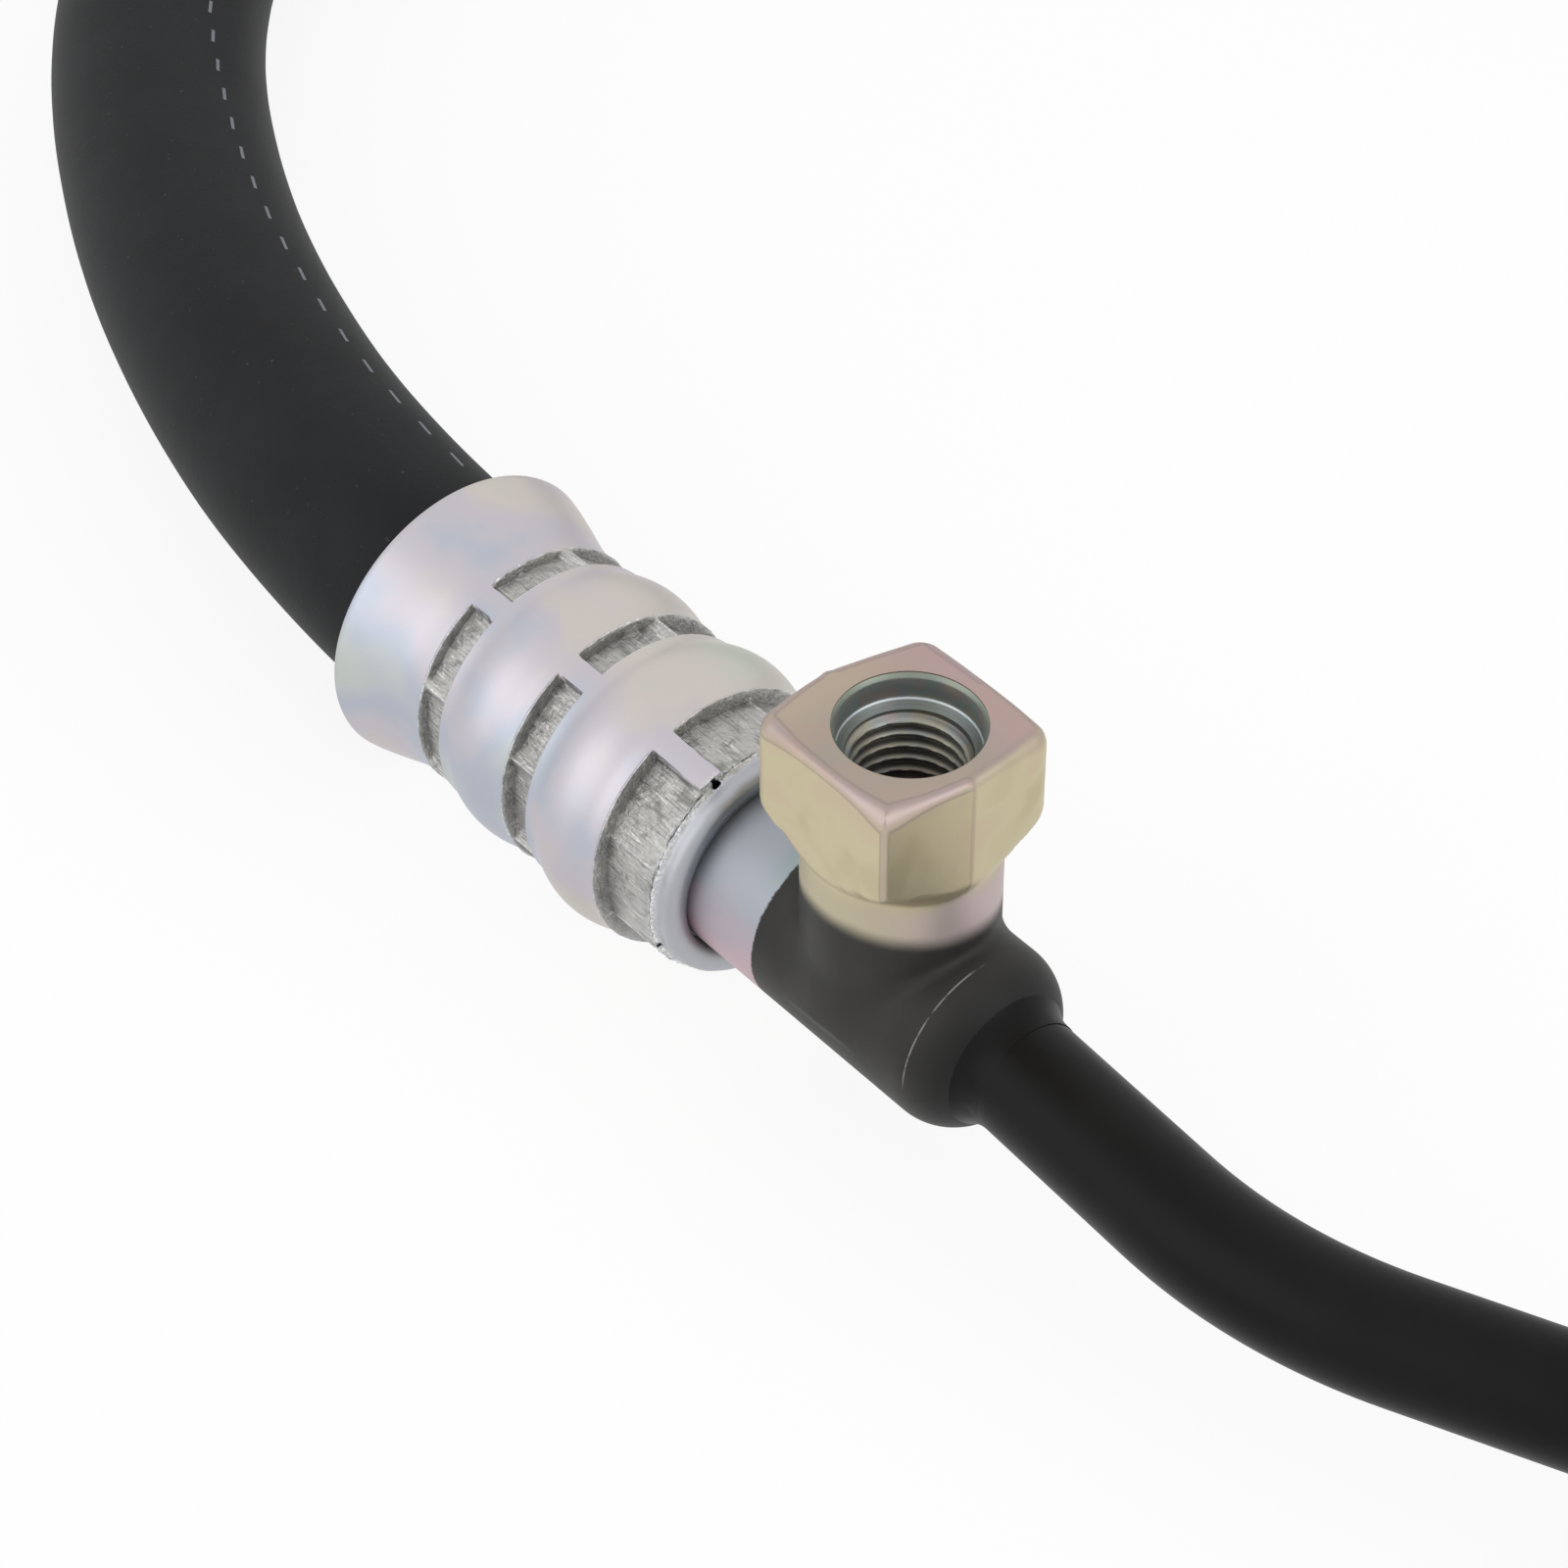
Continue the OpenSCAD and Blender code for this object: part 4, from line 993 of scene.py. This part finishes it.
# %% The thread formula and the port sleeve
PITCH, THREAD_R, CREST_R, SEAL_R, SLEEVE_R = 1.25, 4.98, 4.325, 5.7, 6.2
ROW_R = 4.6


def thread_wave(turns):
    """Height of a 60 degree thread with flats, from 0 at the root to 1 at the crest."""
    saw = np.abs((turns % 1.0) * 2 - 1)
    return ramp01(saw, 0.14, 0.86) * 0.35 + np.clip((saw - 0.12) / 0.76, 0, 1) * 0.65


port_rows = [(2.9, SLEEVE_R), (2.9, 6.03), (2.62, 5.74), (2.45, SEAL_R), (1.6, SEAL_R), (0.9, SEAL_R),
             (0.70, 5.66), (0.62, 5.6), (0.1, 5.08), (0.02, 4.97)]
port_rows += [(float(s), ROW_R) for s in np.arange(-0.06, -11.0, -0.075)]
port_rows += [(-11.05, CREST_R), (-12.1, 2.5), (-14.3, 2.5), (-14.3, SLEEVE_R)]
port_sleeve = mesh_from("port_sleeve", lathe(port_rows, (0, 0, 0), (0, 0, 1), 200))
p = points_of(port_sleeve)
r, turns = np.hypot(p[:, 0], p[:, 1]), np.arctan2(p[:, 1], p[:, 0]) / (2 * math.pi)
in_thread = np.abs(r - ROW_R) < 1e-3
crest = thread_wave((p[:, 2] - turns * PITCH) / PITCH)
fade_in = ramp01(-p[:, 2], 0.0, 0.9)
grow = np.where(in_thread, (THREAD_R - (THREAD_R - CREST_R) * crest * fade_in) / np.maximum(r, 1e-6), 1.0)
move_points(port_sleeve, np.stack([p[:, 0] * grow, p[:, 1] * grow, p[:, 2]], axis=1))
# the thread's roots are marked for painted shade
mark_points(port_sleeve, root=np.where(in_thread, ramp01(1 - crest, 0.12, 0.6) * fade_in, 0))
port_turned = add_mesh("port_turned", port_sleeve, port_finish, 40)
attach(port_turned, "hose_line")

# %% [markdown]
# ## The steel tube
#
# The tube is cold drawn, bent on a former and then sprayed black with the tee.
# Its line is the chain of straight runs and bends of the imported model. At its
# end a bead is upset for the nut to push on, so the sweep's radius swells there.


# %% Finish: satin black paint
black_paint, shader, place = new_finish("black_paint", 0.36)
film = cloud(place, 14, detail=4.0, rough=0.55)
feed(shader, "Base Color", colour_steps(film, (0.3, 17, 17, 17), (0.7, 24, 24, 24)))
feed(shader, "Specular IOR Level", 0.13)
feed(shader, "Roughness", film * 0.14 + 0.34)
roughen(shader, cloud(place, 12, detail=1.0) * 3.0 + cloud(place, 1.6, detail=2.0) * 0.5, 0.3, 0.08)
print("made the finish", black_paint.name)

# %% The line of the tube
BEND_R, ROLL, LAST_RUN = 43.0, math.radians(-2.9), 45.0
TUBE_WAY = (("run", 8.25), ("bend", -3.2), ("run", 16.2), ("bend", 28.5), ("run", 20.0), ("bend", -25.3),
            ("run", LAST_RUN))
TUBE_R, TUBE_BORE_R, BEAD_R = 5.0, 4.0, 6.7


def tube_line():
    """Points along the tube in its own plane: straight runs and bends in turn."""
    x, y, heading = 4.132, 0.0, 0.0
    line = [(x, y)]
    for kind, amount in TUBE_WAY:
        if kind == "run":
            count = 60 if amount == LAST_RUN else 4
            for i in range(1, count + 1):
                way = amount * i / count
                line.append((x + way * math.cos(heading), y + way * math.sin(heading)))
        else:
            sweep_by, side = math.radians(amount), math.copysign(1, amount)
            cx, cy = x - side * BEND_R * math.sin(heading), y + side * BEND_R * math.cos(heading)
            count = max(4, int(abs(amount) / 1.2))
            for i in range(1, count + 1):
                a = heading + sweep_by * i / count
                line.append((cx + side * BEND_R * math.sin(a), cy - side * BEND_R * math.cos(a)))
            heading += sweep_by
        x, y = line[-1]
    return [Vector((px, py * math.cos(ROLL), AXIS_Z + py * math.sin(ROLL))) for px, py in line]


def tube_radius(back):
    """The tube's radius, from how far it is to its end: plain but for a bead and a chamfer."""
    if -7.9 <= back <= -6.99:
        return BEAD_R - 0.35 * max(0, abs(back + 7.75) - 0.1) ** 2
    if -9.25 < back < -7.9:
        return TUBE_R + (BEAD_R - TUBE_R) * ((back + 9.25) / 1.35) ** 0.7
    return TUBE_R - max(0, back + 0.35)


tube_points = tube_line()
TUBE_END = tube_points[-1]
line = [point for point in tube_points if not -9.4 < point.x - TUBE_END.x < -6.7]
finer = [-9.3, -9.2, -9.0, -8.7, -8.3, -8.0, -7.9, -7.75, -7.6, -7.45, -7.3, -7.15, -7.02, -6.98,
         -0.34, -0.15]
line += [Vector((TUBE_END.x + s, TUBE_END.y, TUBE_END.z)) for s in finer]
line = sorted((p for p in line if p.x <= TUBE_END.x), key=lambda p: p.x)
radii = [tube_radius(p.x - TUBE_END.x) for p in line]
tube_mesh = mesh_from("tube_drawn", hollow_sweep(line, radii, [TUBE_BORE_R] * len(line), 72))
tube_drawn = add_mesh("tube_drawn", tube_mesh, black_paint, 35)
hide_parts("steel_tube")
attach(tube_drawn, "hose_line")
print("the tube ends at", [round(v, 3) for v in TUBE_END])

# %% [markdown]
# ## The braze where the tube meets the collar
#
# Molten braze creeps up the tube in a concave ring, never quite even, and is
# sprayed with the tube. A lathed ring's points are pushed a little by noise.

# %% The braze fillet
FILLET_R, FILLET_END = 4.1, 14.4
fillet = [(11.4, 5.03), (11.4, 6.3)]
fillet += [(FILLET_END + FILLET_R * math.cos(a), 5.04 + FILLET_R * (1 + math.sin(a)))
           for a in np.radians(np.linspace(-136, -91, 12))]
fillet += [(FILLET_END, 5.03)]
bm = lathe(fillet, (0, 0, AXIS_Z), (1, 0, 0), 160)
for v in bm.verts:
    arm = Vector((0, v.co.y, v.co.z - AXIS_Z * MM))
    if arm.length > 5.1 * MM:
        lump = noise.noise(v.co * 1100) * 0.09 * ramp01(v.co.x / MM, 12.6, 14.2)
        lump += noise.noise(v.co * 300) * 0.05
        v.co += arm.normalized() * lump * MM
tube_fillet = add_mesh("braze_fillet_ring", mesh_from("braze_fillet_ring", bm), black_paint, 60)
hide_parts("tube_braze_fillet")
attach(tube_fillet, "hose_line")

# %% [markdown]
# ## The union nut
#
# The nut is turned from hexagon bar: both ends of the hexagon are chamfered, so
# each corner ends in a shallow curve, and the thread runs out into a relief. It
# is one stack of rings. A ring in the hexagon takes the smaller of the hexagon's
# radius and the chamfer's, and a ring in the thread follows the helix.

# %% Finish: plated nut
zinc_nut, shader, place = new_finish("zinc_nut", 0.3, 1.0)
speck, scratches = use_group(grain, place)
(clouds,) = use_group(pastel, stretched(place, scale=(1.4, 1.4, 1.4)))
wave_node = node(place.tree, "ShaderNodeTexWave", wave_type="RINGS", rings_direction="X")
feed(wave_node, "Vector", stretched(place, offset=(0, -TUBE_END.y * MM, -TUBE_END.z * MM)))
feed(wave_node, "Scale", 900)
feed(wave_node, "Distortion", 1.5)
turned_marks = Signal(wave_node.outputs["Fac"])
feed(shader, "Base Color", blend(scratches.step(0.50, 0.72), clouds, shade(176, 176, 176)))
feed(shader, "Roughness", scratches * 0.25 + 0.18)
roughen(shader, turned_marks * 0.15 + speck, 0.3, 0.05)
print("made the finish", zinc_nut.name)

# %% Rings of the nut
NUT_FRONT, SHOULDER, NUT_BACK = -9.26, -20.26, -29.26
HEX_HALF, NUT_PITCH, NUT_BORE_R, RELIEF_R = 11.0, 1.5, 5.06, 7.8
HEX_ROW_R, THREAD_ROW_R = 10.8, 8.5
rise = (HEX_HALF / math.cos(math.pi / 6) - HEX_HALF) * math.tan(math.pi / 6)
hex_rows = [NUT_BACK] + [NUT_BACK + rise * k / 6 for k in range(1, 8)]
hex_rows += [NUT_BACK + 1.6, NUT_BACK + 4.5, SHOULDER - 1.6]
hex_rows += [SHOULDER - rise * k / 6 for k in range(7, 0, -1)] + [SHOULDER]
nut_outline = [(NUT_BACK, 6.66), (NUT_BACK, 9.4)] + [(s, HEX_ROW_R) for s in hex_rows]
nut_outline += [(SHOULDER + 0.001, 9.6), (SHOULDER + 0.001, RELIEF_R), (SHOULDER + 1.6, RELIEF_R)]
nut_outline += [(float(s), THREAD_ROW_R) for s in np.arange(SHOULDER + 1.7, NUT_FRONT, 0.085)]
nut_outline += [(NUT_FRONT, 7.75), (NUT_FRONT, 5.45), (NUT_FRONT - 0.4, NUT_BORE_R),
                (NUT_BACK + 0.6, NUT_BORE_R)]
nut_mesh = mesh_from("union_nut_turned", lathe(nut_outline, tuple(TUBE_END), (1, 0, 0), 240))
p = points_of(nut_mesh) - np.array(TUBE_END)
r, spin_angle = np.hypot(p[:, 1], p[:, 2]), np.arctan2(p[:, 1], p[:, 2])
from_flat = (spin_angle - ROLL + math.pi / 3) % (math.pi / 3) - math.pi / 6
hexagon = HEX_HALF / np.maximum(np.cos(from_flat), 0.5)
chamfer = HEX_ROW_R + 2.1 * np.minimum(p[:, 0] - NUT_BACK, SHOULDER - p[:, 0]) / (rise + 0.23)
cut = thread_wave((p[:, 0] - spin_angle / (2 * math.pi) * NUT_PITCH) / NUT_PITCH)
cones = RELIEF_R + np.minimum(NUT_FRONT - p[:, 0], p[:, 0] - (SHOULDER + 1.6))
threaded = np.minimum(8.08 + 0.92 * (1 - cut), cones)
new_r = np.where(np.abs(r - HEX_ROW_R) < 1e-3, np.minimum(hexagon, chamfer),
                 np.where(np.abs(r - THREAD_ROW_R) < 1e-3, threaded, r))
grow = new_r / np.maximum(r, 1e-6)
move_points(nut_mesh, np.stack([p[:, 0], p[:, 1] * grow, p[:, 2] * grow], axis=1) + np.array(TUBE_END))
union_nut_turned = add_mesh("union_nut_turned", nut_mesh, zinc_nut, 28)
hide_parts("tube_nut")
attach(union_nut_turned, "union_nut")

# %% [markdown]
# ## The O-ring
#
# A plain ring of rubber. It is turned on the lathe with enough steps to look
# round, and it sits against the bead.

# %% The O-ring
RING_R, CORD_R = 6.0, 0.95
o_ring_rubber, shader, place = new_finish("o_ring_rubber", 0.38)
feed(shader, "Base Color", colour_steps(cloud(place, 2.5), (0.3, 24, 24, 25), (0.7, 33, 33, 34)))
roughen(shader, cloud(place, 0.4, detail=2.0), 0.15, 0.03)
section = [(-6.0 + CORD_R * math.cos(a), RING_R + CORD_R * math.sin(a))
           for a in np.linspace(0, 2 * math.pi, 20, endpoint=False)]
ring_mesh = mesh_from("o_ring_turned", lathe(section, tuple(TUBE_END), (1, 0, 0), 96))
o_ring = add_mesh("o_ring_turned", ring_mesh, o_ring_rubber, 60)
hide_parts("tube_o_ring")
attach(o_ring, "hose_line")

# %% [markdown]
# ## The banjo eye
#
# The far end is a second forging: a stem that widens into a thick eye, with two
# raised faces for the sealing washers. It is made as the tee was: rough stock,
# one skin, and a distance formula with soft joints. The bore is drilled last.

# %% Finish: plain plated steel
plated_steel, shader, place = new_finish("plated_steel", 0.3, 1.0)
speck, scratches = use_group(grain, place)
(clouds,) = use_group(pastel, stretched(place, offset=(0.4, 0.2, 0.1)))
feed(shader, "Base Color", blend(scratches.step(0.52, 0.74), clouds, shade(182, 178, 172)))
feed(shader, "Roughness", scratches * 0.22 + 0.22)
roughen(shader, speck, 0.3, 0.06)
print("made the finish", plated_steel.name)

# %% The banjo eye
EYE = Vector((1.7, 190.0, AXIS_Z))


def banjo_distance(p):
    q = p - np.array(EYE)
    r, height = np.hypot(q[:, 0], q[:, 1]), np.abs(q[:, 2])
    barrel = round_inside(r - 12.5, height - 7.4, 1.2)
    faces = round_inside(r - 11.0, height - 8.0, 0.15)
    stem = np.maximum(np.hypot(q[:, 1], q[:, 2]) - 8.0, np.maximum(q[:, 0], -33.0 - q[:, 0]))
    stem = np.maximum(stem, height - 7.4 - 0.6 * ramp01(-q[:, 0], 10.0, 14.0))
    return soft_min(stem, np.minimum(barrel, faces), 0.9)


bm = bmesh.new()
rod(bm, 7.9, EYE + Vector((-32.9, 0, 0)), EYE, "X")
for r, half in ((12.3, 7.3), (10.9, 7.9)):
    rod(bm, r, EYE - Vector((0, 0, half)), EYE + Vector((0, 0, half)), "Z")
banjo_skin = one_skin("banjo", bm, 0.42)
move_points(banjo_skin, draw_onto(banjo_distance, points_of(banjo_skin)))
banjo_skin = drill(banjo_skin, 7.1, EYE - Vector((0, 0, 12)), EYE + Vector((0, 0, 12)))
banjo_forged = add_mesh("banjo_forged", banjo_skin, plated_steel, 38)
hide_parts("banjo_eye")
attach(banjo_forged, "hose_line")

# %% [markdown]
# ## Pieces that stay as they are
#
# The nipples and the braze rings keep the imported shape. They only get a finish.

# %% Finish: braze metal, and finishes for the nodes that stay
braze_metal, shader, place = new_finish("braze", 0.34, 1.0)
feed(shader, "Base Color", colour_steps(cloud(place, 1.5), (0.3, 176, 140, 84), (0.7, 206, 172, 108)))
roughen(shader, cloud(place, 0.7), 0.3, 0.08)
for name, finish in (("nipple", plated_steel), ("far_nipple", plated_steel),
                     ("nipple_braze_ring", braze_metal), ("far_braze_ring", braze_metal)):
    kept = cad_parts[name]
    kept.data.materials.clear()
    kept.data.materials.append(finish)
print("finished the nodes that stay")

# %% [markdown]
# ## What the hose is
#
# The hose starts in the near ferrule and ends in the far fitting. Its layers,
# both ferrules and the banjo eye hang on the same body as the tee.

# %% [markdown]
# ## Floor and light
#
# The object lies on a pale bench under soft, even light. The bench and the air
# round it look white to the camera and in reflections, but light the object only
# gently, so every finish shows its own colour. A large soft lamp from the left
# gives the metal its broad highlights, and a weaker one fills the right.


# %% The bench
def seen_straight(tree):
    """1 for rays that come from the camera, from a mirror or through glass."""
    path = node(tree, "ShaderNodeLightPath")
    kinds = ("Camera", "Glossy", "Transmission")
    seen, glossy, clear = (Signal(path.outputs["Is %s Ray" % kind]) for kind in kinds)
    return seen.maths("ADD", seen.maths("ADD", seen, glossy, clamp=True), clear, clamp=True)


bench_white = bpy.data.materials.new("bench_white")
bench_white.use_nodes = True
tree = bench_white.node_tree
tree.nodes.remove(tree.nodes["Principled BSDF"])
matt, faint = node(tree, "ShaderNodeBsdfDiffuse"), node(tree, "ShaderNodeBsdfDiffuse")
feed(matt, "Color", (0.82, 0.82, 0.82, 1))
feed(faint, "Color", (0.16, 0.16, 0.16, 1))
glow, both = node(tree, "ShaderNodeEmission"), node(tree, "ShaderNodeAddShader")
pick = node(tree, "ShaderNodeMixShader")
feed(glow, "Strength", 0.88)
for made, which, value in ((both, 0, glow), (both, 1, faint), (pick, 1, matt), (pick, 2, both)):
    feed(made, which, Signal(value.outputs[0]))
feed(pick, 0, seen_straight(tree))
feed(tree.nodes["Material Output"], "Surface", Signal(pick.outputs[0]))
bm = bmesh.new()
below = Matrix.Translation((0, 0, cad_low.z - 0.0002))
bmesh.ops.create_grid(bm, x_segments=1, y_segments=1, size=3.0, matrix=below)
bench_mesh = bpy.data.meshes.new("bench")
bm.to_mesh(bench_mesh)
bm.free()
bench_mesh.materials.append(bench_white)
bench = bpy.data.objects.new("bench", bench_mesh)
bpy.context.scene.collection.objects.link(bench)
print("the bench lies at", round(cad_low.z / MM, 2), "mm")

# %% The air and the lamps
air = bpy.data.worlds.new("studio")
bpy.context.scene.world = air
air.use_nodes = True
dome = air.node_tree.nodes["Background"]
feed(dome, "Color", (1, 1, 1, 1))
feed(dome, "Strength", seen_straight(air.node_tree) * 0.45 + 0.55)


def soft_lamp(name, place, size, watts):
    """A round area lamp that looks at the origin."""
    lamp = bpy.data.lights.new(name, "AREA")
    lamp.shape, lamp.size, lamp.energy = "DISK", size, watts
    holder = bpy.data.objects.new(name, lamp)
    holder.location = place
    holder.rotation_euler = (-Vector(place)).to_track_quat("-Z", "Y").to_euler()
    bpy.context.scene.collection.objects.link(holder)


soft_lamp("key_lamp", (-0.36, -1.0, 0.53), 1.2, 2.9)
soft_lamp("fill_lamp", (0.9, 0.25, 0.6), 0.8, 2.0)
bpy.context.scene.view_settings.view_transform = "Standard"
print("lamps are set")
